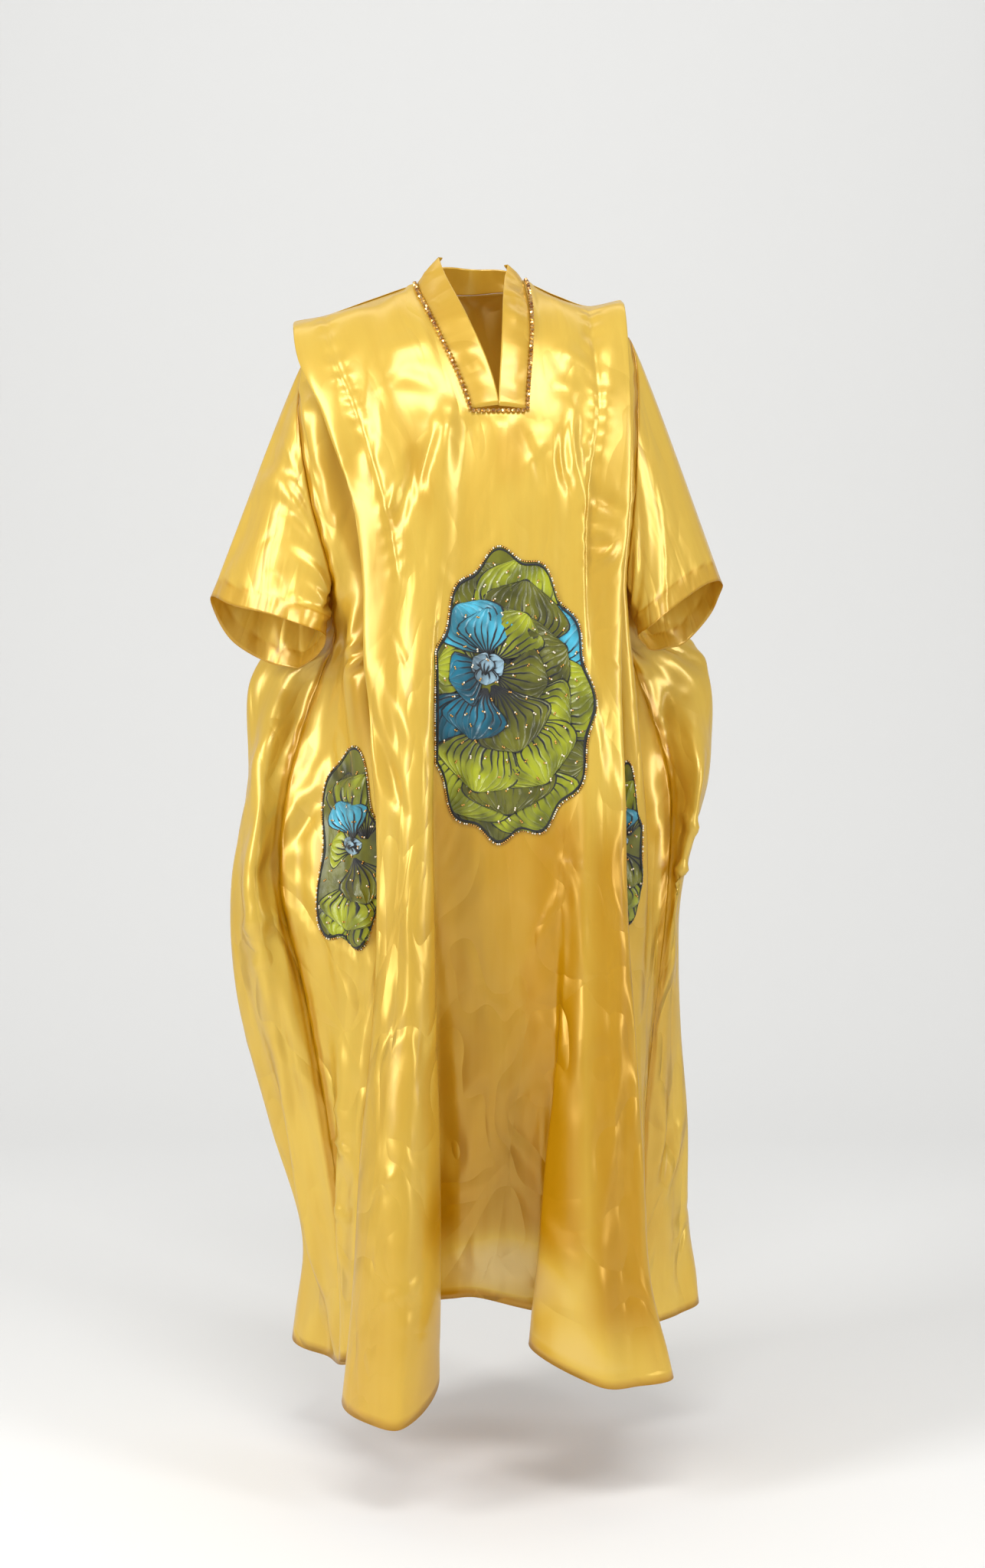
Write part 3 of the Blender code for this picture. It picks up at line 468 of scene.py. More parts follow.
steps = [MORE_STEPS.get(name, USUAL_STEPS) * FINER for name in LOOP]
columns = [smooth_curve(fold_line(name), [d * FINER_DOWN for d in STEPS_DOWN]) for name in LOOP]
loop = smooth_curve(columns, steps, closed=True)
at = dict(zip(LOOP, np.concatenate([[0], np.cumsum(steps)[:-1]])))
print("the body's loop has", loop.shape[0], "columns of", loop.shape[1], "points")

# %% [markdown]
# ## Laying a grid of cloth
# Each piece starts as a flat grid from bmesh, and then every point goes to its place on the curves. The
# grid keeps its cloth coordinates, in metres of real cloth, for the weave. A thin Solidify wall lies in
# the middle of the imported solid's wall.

# %% Make cloth pieces
CLOTH = 0.0005  # thickness of the shown cloth
pieces = {}


def unit(ways):
    """The same ways with a length of 1."""
    return ways / np.maximum(np.linalg.norm(ways, axis=-1, keepdims=True), 1e-9)


def cloth_normals(places):
    """The outward way at each point of a grid, whose columns run to the viewer's right along the front."""
    across = np.gradient(places, axis=0)
    down = np.gradient(places, axis=1)
    return unit(np.cross(down, across))


def to_side(across):
    """How far each point is from the nearer side edge."""
    return np.minimum(across, across[-1:] - across)


def to_hem(down):
    """How far each point is from the lower edge."""
    return down[:, -1:] - down


def lengths_along(places, axis=0):
    """How far along the cloth, or along one line of points, each point lies, in metres."""
    gaps = np.linalg.norm(np.diff(places, axis=axis), axis=-1)
    start = np.zeros_like(gaps.take([0], axis=axis))
    return np.concatenate([start, np.cumsum(gaps, axis=axis)], axis=axis)


def read_at(wanted, keys, table):
    """The table's columns, read at the wanted places between its keys."""
    return np.stack([np.interp(wanted, keys, column) for column in np.array(table, float).T], axis=-1)


def flat_grid(columns, rows):
    """A flat grid of faces, and the column and the row of each of its points."""
    bm = bmesh.new()
    bmesh.ops.create_grid(bm, x_segments=columns - 1, y_segments=rows - 1, size=0.5)
    spots = np.array([v.co for v in bm.verts])
    i, j = (np.rint((spots[:, k] + 0.5) * (count - 1)).astype(int) for k, count in ((0, columns), (1, rows)))
    return bm, i, j


def lay_cloth(name, places, double_and_painted_light, hole=None, closed=False, wall=CLOTH):
    """A piece of cloth from a grid of places. Its mark is above 0 where it looks double and where shade
    is painted, and below 0 where light coming through it is painted.
    """
    columns, rows = places.shape[:2]
    bm, i, up = flat_grid(columns, rows)
    j = rows - 1 - up
    across, down = lengths_along(places, 0), lengths_along(places, 1)
    flat = np.stack([across.mean(axis=1)[i], down[i, j]], axis=1)
    cloth, layer = bm.loops.layers.uv.new("cloth"), bm.verts.layers.float.new("double_and_painted_light")
    for face in bm.faces:
        for corner in face.loops:
            corner[cloth].uv = flat[corner.vert.index]
    for v in bm.verts:
        v.co = places[i[v.index], j[v.index]]
        v[layer] = double_and_painted_light[i[v.index], j[v.index]]
    if hole:
        first, last, low = hole
        cut = (first <= i) & (i <= last) & (j <= low)
        inside = [face for face in bm.faces if all(cut[v.index] for v in face.verts)]
        bmesh.ops.delete(bm, geom=inside, context="FACES")
    if closed:
        bmesh.ops.remove_doubles(bm, verts=bm.verts, dist=1e-5)
    mesh = mesh_from(name, bm)
    mesh.shade_smooth()
    made = pieces[name] = add_object(name, mesh)
    thick = made.modifiers.new("wall", "SOLIDIFY")
    thick.thickness = wall
    thick.offset = 0.0
    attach(made, "root")
    print(name, columns, "by", rows, "points, widest", round(float(across[-1].max()), 3), "and longest",
          round(float(down[:, -1].max()), 3), "metres,",
          round(sum(face.area for face in mesh.polygons), 3), "square metres of cloth")


# %% [markdown]
# ## Creases placed one by one
# Crisp satin doesn't fall in even waves. It has a few long soft ridges that start where the cloth is
# held, at the neck band's corners and along the tucks, and short sharp creases from being packed and
# worn. Each one here is a bowed line with a width and a height, and the cloth rises or sinks along it.
# The same kind of creases, in other places, go on the sides that the picture doesn't show.

# %% Make the crease helpers
BOW_POINTS = 9  # points along a bowed crease
WAVES = 14  # sines in a cloth's slow waves
DITCH, DITCH_WIDTH = 0.35, 2.2  # the shallow ditch beside a ridge, as shares of its height and width


def crease_height(flat, x, z, end_x, end_z, bow, width, height, strongest=0.5):
    """How far the cloth rises beside one bowed crease. It is strongest in its middle, or at its start."""
    a, b = np.array([x, z]) * MM, np.array([end_x, end_z]) * MM
    side = np.array([b[1] - a[1], a[0] - b[0]]) / np.linalg.norm(b - a)
    mid = (a + b) / 2 + side * bow * 2 * MM
    t = np.linspace(0, 1, BOW_POINTS)[:, None]
    line = a * (1 - t) ** 2 + mid * 2 * t * (1 - t) + b * t**2
    best, share = np.full(flat.shape[:-1], 1e9), np.zeros(flat.shape[:-1])
    for k in range(len(line) - 1):
        way = line[k + 1] - line[k]
        along = np.clip(((flat - line[k]) @ way) / (way @ way), 0, 1)
        away = np.linalg.norm(flat - line[k] - along[..., None] * way, axis=-1)
        nearer = away < best
        best = np.where(nearer, away, best)
        share = np.where(nearer, (k + along) / (len(line) - 1), share)
    strength = np.sin(math.pi * np.clip(share, 0, 1)) ** 0.8
    if strongest == 0:
        strength = np.clip(1 - share, 0, 1) ** 1.2 * np.clip(share * 8 + 0.35, 0, 1)
    near = best / (width * MM)
    return height * MM * strength * (np.exp(-near**2) - DITCH * np.exp(-(near / DITCH_WIDTH) ** 2))


def add_creases(flat, table):
    """How far the cloth rises beside all creases of a table."""
    return sum((crease_height(flat, *row) for row in table), np.zeros(flat.shape[:-1]))


def scattered_creases(box, count, length, width, height, lean, seed):
    """Small creases at uneven places. lean is their usual way from upright, in degrees."""
    dice = np.random.default_rng(seed)
    left, right, low, high = box
    made = []
    for _ in range(count):
        x, z = dice.uniform(left, right), dice.uniform(low, high)
        turn = math.radians(lean * dice.choice((-1, 1)) + dice.normal(0, 22))
        reach = dice.uniform(0.5, 1.4) * length
        end = x + reach * math.sin(turn), z - reach * math.cos(turn)
        rise = dice.uniform(0.4, 1.0) * height * dice.choice((-1, 1, 1))
        made.append((x, z, *end, dice.normal(0, reach * 0.08), width * dice.uniform(0.7, 1.5), rise))
    return made


def soft_waves(flat, seed, size, stretch, height):
    """Slow uneven waves, longer down the cloth than across it: sums of a few crossing sines."""
    dice = np.random.default_rng(seed)
    total = np.zeros(flat.shape[:-1])
    for _ in range(WAVES):
        turn = dice.normal(0, 0.35)
        long = size * dice.uniform(0.7, 1.9) * MM
        across = flat[..., 0] * math.cos(turn) + flat[..., 1] * math.sin(turn) / stretch
        drift = np.sin(flat[..., 1] / (long * stretch * 1.3) + dice.uniform(0, 6.3))
        total += np.sin(2 * math.pi * across / long + 1.6 * drift + dice.uniform(0, 6.3))
    return total / WAVES**0.5 * height * MM


def calm(far, keep):
    """A soft step from 0 to 1, keep metres wide. It keeps creases out of the cloth's edges."""
    share = np.clip(far / keep, 0, 1)
    return share**2 * (3 - 2 * share)


def off_the_hole(across, down, hole, keep=0.022):
    """Keeps creases out of a strip round the neckline, so that the band still meets it."""
    first, last, low = hole
    beside = np.maximum(across[first] - across, across - across[last])
    below = down - down[:, low:low + 1]
    return calm(np.hypot(np.maximum(beside, 0), np.maximum(below, 0)), keep)


def layers_and_shade_behind(places, start, table):
    """Where other layers lie close behind the cloth it looks deeper, and where it hangs in a fold's recess
    shade is painted: a share for each point, from 0 to 1. start is the cloth's first column in the loop."""
    x, z = places[..., 0], places[..., 2]
    total = np.zeros(x.shape)
    for first, last, top, low, share, soft in table:
        left, right = (x[(at[fold] - start) % len(loop)][None] for fold in (first, last))
        soft_left, soft_right = (wide * MM for wide in soft)
        inside = calm(x - left + soft_left / 2, soft_left) * calm(right - x + soft_right / 2, soft_right)
        inside *= calm(top * MM - z, 0.12) * calm(z - low * MM, 0.10)
        total = np.maximum(total, share * inside)
    return total


def soft_spots(places, table):
    """The same for single soft ovals. The table's columns are the middle's x and z, half the width and the
    height in mm, the lean in degrees and the share."""
    total = np.zeros(places.shape[:2])
    for x, z, wide, high, lean, share in table:
        away = places[..., [0, 2]] / MM - (x, z)
        turn = math.radians(lean)
        across = (away[..., 0] * math.cos(turn) + away[..., 1] * math.sin(turn)) / wide
        along = (away[..., 1] * math.cos(turn) - away[..., 0] * math.sin(turn)) / high
        total = np.maximum(total, share * np.exp(-((across**2 + along**2) ** 1.5)))
    return total


print("crease helpers ready")

# %% [markdown]
# ## Seams, hems and tucks
# Where two pieces meet, each one steps back a little, so that their walls just clear each other. Hems and
# seams are turned over, so they look deeper, and that is painted on the cloth's points. The stitches of a
# tuck pull the cloth into a groove, with puckers on both sides.

# %% Make the sewing helpers
SEAM_GAP, SHARPEST_SEAM = 0.0002, math.radians(14)
SHOULDER_WAY = np.array((0, 0.010, -0.004))  # from the shoulder seam to the cloth behind it
SEWN_TOP, NEAR_HEM = 0.03, 0.05  # metres over which creases come in below the top, and die out at the hem
HEM, SEAM, SEAM_SHARE = 0.010, 0.008, 0.8  # strips that look double, at the hem and along the seams
GROOVE, GROOVE_WIDE = 0.0022, 0.004  # depth and half width of the groove along a tuck's stitches
PUCKER = 0.0009  # height of the puckers beside it
HEM_EDGE, HEM_SOFT = 0.012, 0.006  # where the single layer starts above the hem


def seam_step(edge, own, other):
    """How far the cloth at a seam steps back, so that the two walls just clear each other."""
    own_way, other_way = unit(own - edge), unit(other - edge)
    half = np.arccos(np.clip((own_way * other_way).sum(-1), -1, 1)) / 2
    half = np.maximum(half, SHARPEST_SEAM)
    return own_way * ((SEAM_GAP / 2 + CLOTH / 2 * np.cos(half)) / np.sin(half))[..., None]


def panel_from(first, last, top=0):
    """A panel cut out of the loop between two columns, drawn back along both seams."""
    picked = np.arange(first, first + (last - first) % len(loop) + 1) % len(loop)
    grid = loop[picked, top:]
    grid[0] += seam_step(grid[0], grid[1], loop[picked[0] - 1, top:])
    grid[-1] += seam_step(grid[-1], grid[-2], loop[(picked[-1] + 1) % len(loop), top:])
    return grid


def free_cloth(across, down, keep):
    """1 where creases may rise freely, 0 at the sides and the top, where the cloth is sewn, and 0.4 at its
    lower edge."""
    return calm(to_side(across), keep) * calm(down, SEWN_TOP) * (0.4 + 0.6 * calm(to_hem(down), NEAR_HEM))


def edge_strip(down, wide, soft=0.003):
    """1 in a strip of that width at the cloth's lower edge, fading above it."""
    return np.clip((wide - to_hem(down)) / soft + 0.5, 0, 1)


def side_strip(across, wide, soft=0.003):
    """1 in a strip of that width at both side edges."""
    return np.clip((wide - to_side(across)) / soft + 0.5, 0, 1)


def tuck_stitches(across, down, column, last, seed):
    """The groove and the puckers along a tuck's stitch line, which ends at the last row."""
    dice = np.random.default_rng(seed)
    away = (across - across[column:column + 1]) / GROOVE_WIDE
    along = down[column:column + 1] / down[column, last]
    fade = np.clip((1.02 - along) * 12, 0, 1) * np.clip(along * 10, 0, 1)
    puckers = np.sin(down / 0.0042 + 3 * np.sin(down / 0.031 + dice.uniform(0, 6)))
    puckers += 0.6 * np.sin(down / 0.0111 + dice.uniform(0, 6))
    ripple = PUCKER * puckers * np.exp(-((np.abs(away) - 1.6) / 1.8) ** 2)
    return (ripple - GROOVE * np.exp(-away**2)) * fade


def sew_panel(name, seams, facing, strength, ridges, small, waves, tucks, corners, neck,
              layers=(), spots=(), sheer_glow=()):
    """The front or the back, from one side seam to the other, with its neckline cut out. facing is 1 for
    the front and -1 for the back, and small says where small creases are scattered."""
    start = at[seams[0]]
    grid = panel_from(start, at[seams[1]])
    grid[:, 0] += seam_step(grid[:, 0], grid[:, 1], grid[:, 0] + SHOULDER_WAY * (1, facing, 1))
    out = cloth_normals(grid)
    across, down = lengths_along(grid, 0), lengths_along(grid, 1)
    view = grid[..., [0, 2]]
    rise = strength * add_creases(view, ridges)
    rise += add_creases(view, scattered_creases(*small))
    rise += soft_waves(view, *waves)
    rise *= free_cloth(across, down, 0.02)
    for tuck, seed in tucks:
        rise += tuck_stitches(across, down, at[tuck] - start, row_of("tuck_end"), seed)
    hole = (at[corners[0]] - start, at[corners[1]] - start, row_of(neck))
    rise *= off_the_hole(across, down, hole)
    places = grid + out * rise[..., None]
    # The cloth looks deeper at the hem and seams, where it is double, and where layers lie behind. Painted
    # shade darkens the folds' valleys and recesses, and where a single layer hangs alone the light through it
    # is painted paler.
    double_and_painted_light = np.maximum(edge_strip(down, HEM), SEAM_SHARE * side_strip(across, SEAM))
    double_and_painted_light = np.maximum(double_and_painted_light, layers_and_shade_behind(places, start, layers))
    double_and_painted_light = np.maximum(double_and_painted_light, soft_spots(places, spots))
    # Where a single layer hangs alone, the light through it is painted as a paler colour.
    painted_glow = soft_spots(places, sheer_glow) * calm(to_hem(down) - HEM_EDGE, HEM_SOFT)
    lay_cloth(name, places, double_and_painted_light * (1 - painted_glow) - painted_glow, hole=hole)


print("sewing helpers ready")

# %% [markdown]
# ## The front
# The front is the piece that everybody sees. Its main folds come from the fold lines. On them go the
# ridges that fan out below the neck band, the puckers along the stitched tucks, and small creases.

# %% Sew the front
FRONT_CREASES = (
    # x and z of the start and the end, bow, width, height in mm, and 0.0 if it is held at its start
    (-46, -158, -108, -360, -7, 17, 8.0, 0.0),
    (-88, -200, -122, -318, -5, 11, -5.0),
    (-100, -236, -118, -290, 4, 6, 3.0),
    (-60, -172, -84, -262, 3, 7, -3.4),
    (114, -152, 126, -268, 8, 8, 5.5),
    (99, -176, 110, -262, 5, 9, -4.5),
    (133, -262, 178, -288, -4, 9, -4.0),
    (138, -345, 168, -322, 4, 8, 4.0),
    (130, -300, 166, -310, 5, 7, 3.0),
    (-41, -182, -46, -430, 4, 15, 3.2, 0.0),
    (22, -158, 20, -400, -3, 17, 2.6, 0.0),
    (66, -190, 56, -340, 5, 12, 2.4, 0.0),
    (40, -170, 78, -262, -4, 8, -2.2),
    (-138, -72, -66, -54, 6, 15, 2.4),
    (-128, -112, -60, -126, -6, 14, -2.2),
    (92, -66, 140, -92, 6, 12, 2.4),
    (84, -118, 140, -128, 5, 13, 2.0),
    (-157, -485, -92, -680, 9, 10, -5.0),
    (-130, -470, -70, -600, 8, 12, 3.5),
    (104, -470, 150, -640, -8, 12, 4.0),
    (70, -430, 118, -560, -6, 10, -3.0),
    (77, -1037, 72, -1240, 2, 7, 4.0, 0.0),
    (75, -1022, 50, -1070, 3, 7, 3.4),
    (67, -974, 100, -1016, -4, 6, 3.2),
    (124, -1017, 146, -1050, 3, 6, 2.6),
    (99, -775, 62, -860, 5, 9, 4.6),
    (124, -745, 134, -850, -5, 10, -4.0),
    (88, -700, 74, -980, 8, 16, -4.0, 0.0),
    (-153, -1148, -88, -1088, 4, 6, 2.4),
    (-138, -1284, -70, -1246, -5, 7, 2.2),
    (-112, -1054, -68, -1010, 3, 6, 2.2),
    (-58, -760, -40, -1080, -5, 12, 2.6, 0.0),
    (10, -740, 4, -1120, 5, 14, 2.4, 0.0),
    (172, -900, 150, -1180, -6, 9, 3.0),
)
# Painted shade in the recesses behind the folds, and deeper where layers lie behind.
FRONT_LAYERS_AND_SHADE = (
    # from one fold line to another, top, bottom, share, softness at the left and at the right
    ("out_l", "in_r", -560, -1300, 0.72, (6, 60)),
    ("neck_r", "crest_r", -600, -1290, 0.95, (70, 50)),
    ("crest_r", "edge_r", -620, -1390, 0.88, (50, 20)),
    ("edge_l", "out_l", -700, -1500, 0.24, (20, 6)),
    ("edge_l", "tuck_l", -150, -700, 0.22, (6, 16)),
    ("tuck_r", "edge_r", -150, -560, 0.30, (10, 6)),
)
FRONT_SHEER_GLOW = (
    # where a single layer hangs alone, painted paler for the light through it: middle, half width, half
    # height, lean, share
    (22, -1262, 74, 40, 0, 0.8),
    (128, -1352, 90, 40, 10, 0.25),
)
FRONT_SHADE_SPOTS = (
    # painted shade in the folds' valleys on the chest, at the tucks' ends and down the middle, and deeper
    # # where a second layer lies behind, in the same columns
    (-84, -232, 15, 52, 14, 0.50),
    (-112, -300, 12, 40, 16, 0.40),
    (34, -204, 24, 48, -8, 0.42),
    (146, -276, 26, 13, 20, 0.45),
    (152, -330, 30, 15, 24, 0.42),
    (-138, -322, 20, 26, 0, 0.36),
    (-146, -352, 26, 12, -10, 0.34),
    (96, -735, 34, 92, -6, 1.0),
    (60, -900, 26, 80, 8, 0.95),
    (20, -640, 60, 40, 0, 0.70),
    (-50, -1180, 26, 60, 0, 0.9),
)
sew_panel(
    "front_cloth", seams=("seam_l", "seam_r"), facing=1, strength=1.5, ridges=FRONT_CREASES,
    small=((-200, 200, -1350, -60), 90, 80, 4.5, 1.5, 24, 11), waves=(5, 62, 4.5, 2.2),
    tucks=(("tuck_l", 3), ("tuck_r", 4)), corners=("neck_l", "neck_r"), neck="neck_cut",
    layers=FRONT_LAYERS_AND_SHADE, spots=FRONT_SHADE_SPOTS, sheer_glow=FRONT_SHEER_GLOW,
)

# %% [markdown]
# ## The back
# The back has the same cut, with the same two tucks, and hangs from the shoulder blades.

# %% Sew the back
BACK_CREASES = (
    (-52, -150, -120, -380, -8, 14, 5.5, 0.0),
    (50, -150, 116, -360, 8, 13, 5.0, 0.0),
    (-4, -170, 10, -520, -10, 16, 3.4, 0.0),
    (-96, -240, -140, -420, 6, 9, -4.0),
    (92, -260, 140, -400, -7, 9, -3.6),
    (-60, -420, -110, -700, 9, 12, 4.0),
    (70, -460, 128, -760, -9, 12, 4.0),
    (20, -560, -30, -860, 12, 14, -3.6),
    (-150, -620, -90, -900, -9, 12, -3.4),
    (150, -640, 96, -940, 8, 12, 3.2),
)
sew_panel(
    "back_cloth", seams=("bseam_r", "bseam_l"), facing=-1, strength=1.0, ridges=BACK_CREASES,
    small=((-200, 200, -1280, -60), 90, 75, 4.5, 1.3, 20, 21), waves=(8, 66, 4.5, 2.0),
    tucks=(("btuck_l", 5), ("btuck_r", 6)), corners=("bneck_r", "bneck_l"), neck="shoulder_front",
)

# %% [markdown]
# ## The side pieces and the wings
# Beside the front panel runs a narrow side piece, and behind the arm the cloth goes on as a wide wing that
# swings out and back in. Their seams are sewn narrow and show through as darker strips.

# %% Sew the sides
LEFT_WING_CREASES = (
    # x and z of the start and the end, bow, width, height in mm, and 0.0 if it is held at its start
    (-262, -812, -334, -842, 10, 9, 6.0),
    (-258, -842, -330, -880, 10, 8, -5.0),
    (-270, -560, -335, -720, 14, 12, 4.0),
    (-219, -655, -312, -768, -10, 13, -7.0),
    (-212, -690, -300, -815, -12, 15, 6.5),
    (-250, -480, -312, -640, 12, 18, 5.0),
    (-228, -520, -262, -650, 8, 12, -4.5),
    (-318, -700, -280, -960, 10, 13, 4.5),
    (-296, -850, -250, -1120, -8, 12, -4.0),
    (-268, -900, -232, -1080, 6, 7, 3.4),
    (-300, -780, -262, -905, -6, 8, 3.6),
    (-248, -1080, -205, -1300, 8, 10, 3.4),
)
RIGHT_WING_CREASES = (
    (214, -722, 290, -728, 26, 9, 7.0),
    (220, -745, 284, -752, 24, 8, -5.5),
    (258, -668, 284, -716, -4, 7, 4.5),
    (270, -520, 292, -660, -8, 16, 5.0),
    (240, -500, 252, -640, 6, 12, -4.5),
    (237, -800, 226, -945, -12, 8, 6.0),
    (262, -790, 262, -1000, 8, 12, 4.0),
    (228, -1005, 224, -1200, -14, 9, 6.0),
    (264, -1095, 238, -1208, -8, 8, 6.5),
    (247, -1060, 236, -1180, -8, 9, -6.0),
    (214, -960, 236, -1015, 5, 6, 3.6),
)
LEFT_SIDE_CREASES = (
    (-205, -640, -300, -735, -10, 11, -4.5),
    (-214, -600, -296, -700, -12, 13, 4.5),
    (-222, -870, -262, -790, 6, 8, 3.5),
    (-196, -560, -176, -640, 4, 7, 4.0),
    (-222, -800, -190, -890, -5, 7, 4.0),
    (-214, -1030, -184, -1072, 4, 6, 5.0),
    (-205, -1100, -178, -1128, -3, 5, 4.5),
    (-200, -1190, -176, -1216, 3, 5, 4.0),
    (-190, -960, -182, -1150, 4, 8, 4.0),
)
# Painted shade in the fold between each sleeve and the front, and deeper where layers lie behind.
LEFT_SIDE_LAYERS_AND_SHADE = (
    # from one fold line to another, top, bottom, share, softness at the left and at the right
    ("fold_l", "seam_l", -120, -640, 0.60, (14, 4)),
    ("side_l", "fold_l", -330, -560, 0.35, (30, 20)),
)
RIGHT_SIDE_LAYERS_AND_SHADE = (("seam_r", "side_r", -120, -1330, 0.30, (6, 6)),)
RIGHT_WING_LAYERS_AND_SHADE = (("side_r", "valley_r", -560, -1330, 0.28, (6, 40)),)
SIDES = (
    # name, first and last fold line, top, seed, size and height of the slow waves, creases, layers and
    # painted shade
    ("side_cloth_left", "side_l", "seam_l", "shoulder_front", 31, 52, 2.2,
     LEFT_SIDE_CREASES, LEFT_SIDE_LAYERS_AND_SHADE),
    ("side_cloth_right", "seam_r", "side_r", "shoulder_front", 32, 52, 2.2, (), RIGHT_SIDE_LAYERS_AND_SHADE),
    ("wing_cloth_left", "bseam_l", "side_l", "tuck_end", 33, 80, 3.6, LEFT_WING_CREASES, ()),
    ("wing_cloth_right", "side_r", "bseam_r", "tuck_end", 34, 80, 3.6,
     RIGHT_WING_CREASES, RIGHT_WING_LAYERS_AND_SHADE),
)
SIDE_STRENGTH = 1.6  # of the creases in the tables
FACING = 3  # they reach full strength where the cloth faces the viewer by a third
SEAM_PUCKER, PUCKERED = 0.0014, 0.012  # height of the puckers along the seams, and how far in they reach
SIDE_SEAM, SIDE_SEAM_SHARE = 0.010, 0.9


def side_cloth(name, first, last, top, seed, waves, height, table, layers):
    """A side piece or a wing, with puckers along both its seams."""
    start = at[first]
    grid = panel_from(start, at[last], top=row_of(top))
    out = cloth_normals(grid)
    across, down = lengths_along(grid, 0), lengths_along(grid, 1)
    flat, view = np.stack([across, -down], axis=-1), grid[..., [0, 2]]
    wide = float(across[-1].mean()) / MM
    rise = add_creases(flat, scattered_creases((0, wide, -1300, -40), 34, 80, 6.0, 2.4, 28, seed))
    rise += SIDE_STRENGTH * add_creases(view, table) * np.clip(-out[..., 1] * FACING, 0, 1)
    rise += soft_waves(flat, seed, waves, 3.2, height)
    rise *= free_cloth(across, down, 0.018)
    edge = to_side(across)
    puckers = np.sin(down / 0.0075 + 2.5 * np.sin(down / 0.05)) * np.exp(-(edge / PUCKERED) ** 2)
    rise += SEAM_PUCKER * puckers * calm(edge, 0.003) * calm(down, NEAR_HEM)
    places = grid + out * rise[..., None]
    # Deeper at the hem and seams, where the cloth is double, and where layers lie behind, with painted shade
    # in the folds' recesses.
    double_and_painted_light = np.maximum(edge_strip(down, HEM), SIDE_SEAM_SHARE * side_strip(across, SIDE_SEAM))
    lay_cloth(name, places, np.maximum(double_and_painted_light, layers_and_shade_behind(places, start, layers)))


for side_piece in SIDES:
    side_cloth(*side_piece)

# %% [markdown]
# ## The sleeves
# A sleeve is a wide tube from its armhole to a hem below the elbow. Its hem is turned up by 24 mm, so it
# looks a little deeper, and it is stitched along the top of the turn-up, where the cloth puckers. The hem
# leans out in front and is longer behind.

# %% Sew the sleeves
SLEEVE_HEMS = {
    # share of the way round, from the top over the front, then x, y and z in mm
    "left": ((0.00, -365, -4, -390), (0.13, -326, -66, -402), (0.26, -276, -98, -413),
             (0.38, -228, -118, -430), (0.45, -204, -92, -440), (0.50, -222, -44, -466),
             (0.57, -247, 4, -482), (0.62, -264, 20, -482), (0.72, -290, 34, -477), (0.87, -342, 32, -446)),
    "right": ((0.00, 316, -2, -373), (0.13, 298, -40, -370), (0.26, 258, -80, -394),
              (0.38, 214, -104, -428), (0.45, 200, -80, -440), (0.50, 212, -44, -454),
              (0.57, 230, -6, -460), (0.62, 242, 10, -458), (0.72, 268, 28, -450), (0.87, 306, 26, -406)),
}
SLEEVE_BOW, UNDERARM_BOW = 0.010, -0.002  # how far the sleeve's top and its underside swell
BOW_EARLY = 0.6  # under 1, they swell more near the armhole
SLEEVE_AROUND, SLEEVE_DOWN, HEM_STEPS = 200, 64, 40
SOLID_WALL, SOLID_GAP = 0.0012, 0.0004  # what the sleeve's first rows clear at the armhole
CLEARING_ROWS = 8
# widths and shares of what looks double at the hem: the turn-up, its stitches and the hem's rim
TURN_UP, THREAD, RIM = 0.024, 0.0016, 0.003
TURN_UP_SHARE, THREAD_SHARE, RIM_SHARE = 0.42, 0.75, 0.8
ARMHOLE_SEAM, SOFT = 0.006, 0.002
CUFF_PUCKER = 0.0008


def armhole_ring(side):
    """The armhole's points: down the side piece, along the wing's top edge, and up the back."""
    armhole, underarm = row_of("shoulder_front"), row_of("tuck_end")
    edge, back_seam = at[f"side_{side[0]}"], at[f"bseam_{side[0]}"]
    step = 1 if side == "right" else -1
    span = (back_seam - edge) * step % len(loop)
    under = loop[np.arange(edge, edge + step * (span + 1), step) % len(loop), underarm]
    return np.vstack([loop[edge, armhole:underarm], under, loop[back_seam, armhole:underarm][::-1]])


def even_ring(points, count):
    """The same closed ring with evenly spaced points, and their shares of the way round."""
    closed = np.vstack([points, points[:1]])
    along = lengths_along(closed)
    shares = np.arange(count) / count
    return read_at(shares * along[-1], along, closed), shares + (along[-1] - along[-2]) / along[-1] / 2


def sleeve_hem(side, shares):
    """The hem's points at those shares of the way round, on a smooth curve through the table."""
    table = np.array(SLEEVE_HEMS[side])
    curve = smooth_curve(table[:, 1:] * MM, [HEM_STEPS] * len(table), closed=True)
    keys = np.append(table[:, 0], 1.0)
    read = np.interp(np.arange(len(curve) + 1) / HEM_STEPS, np.arange(len(keys)), keys)
    return read_at(shares % 1.0, read, np.vstack([curve, curve[:1]]))


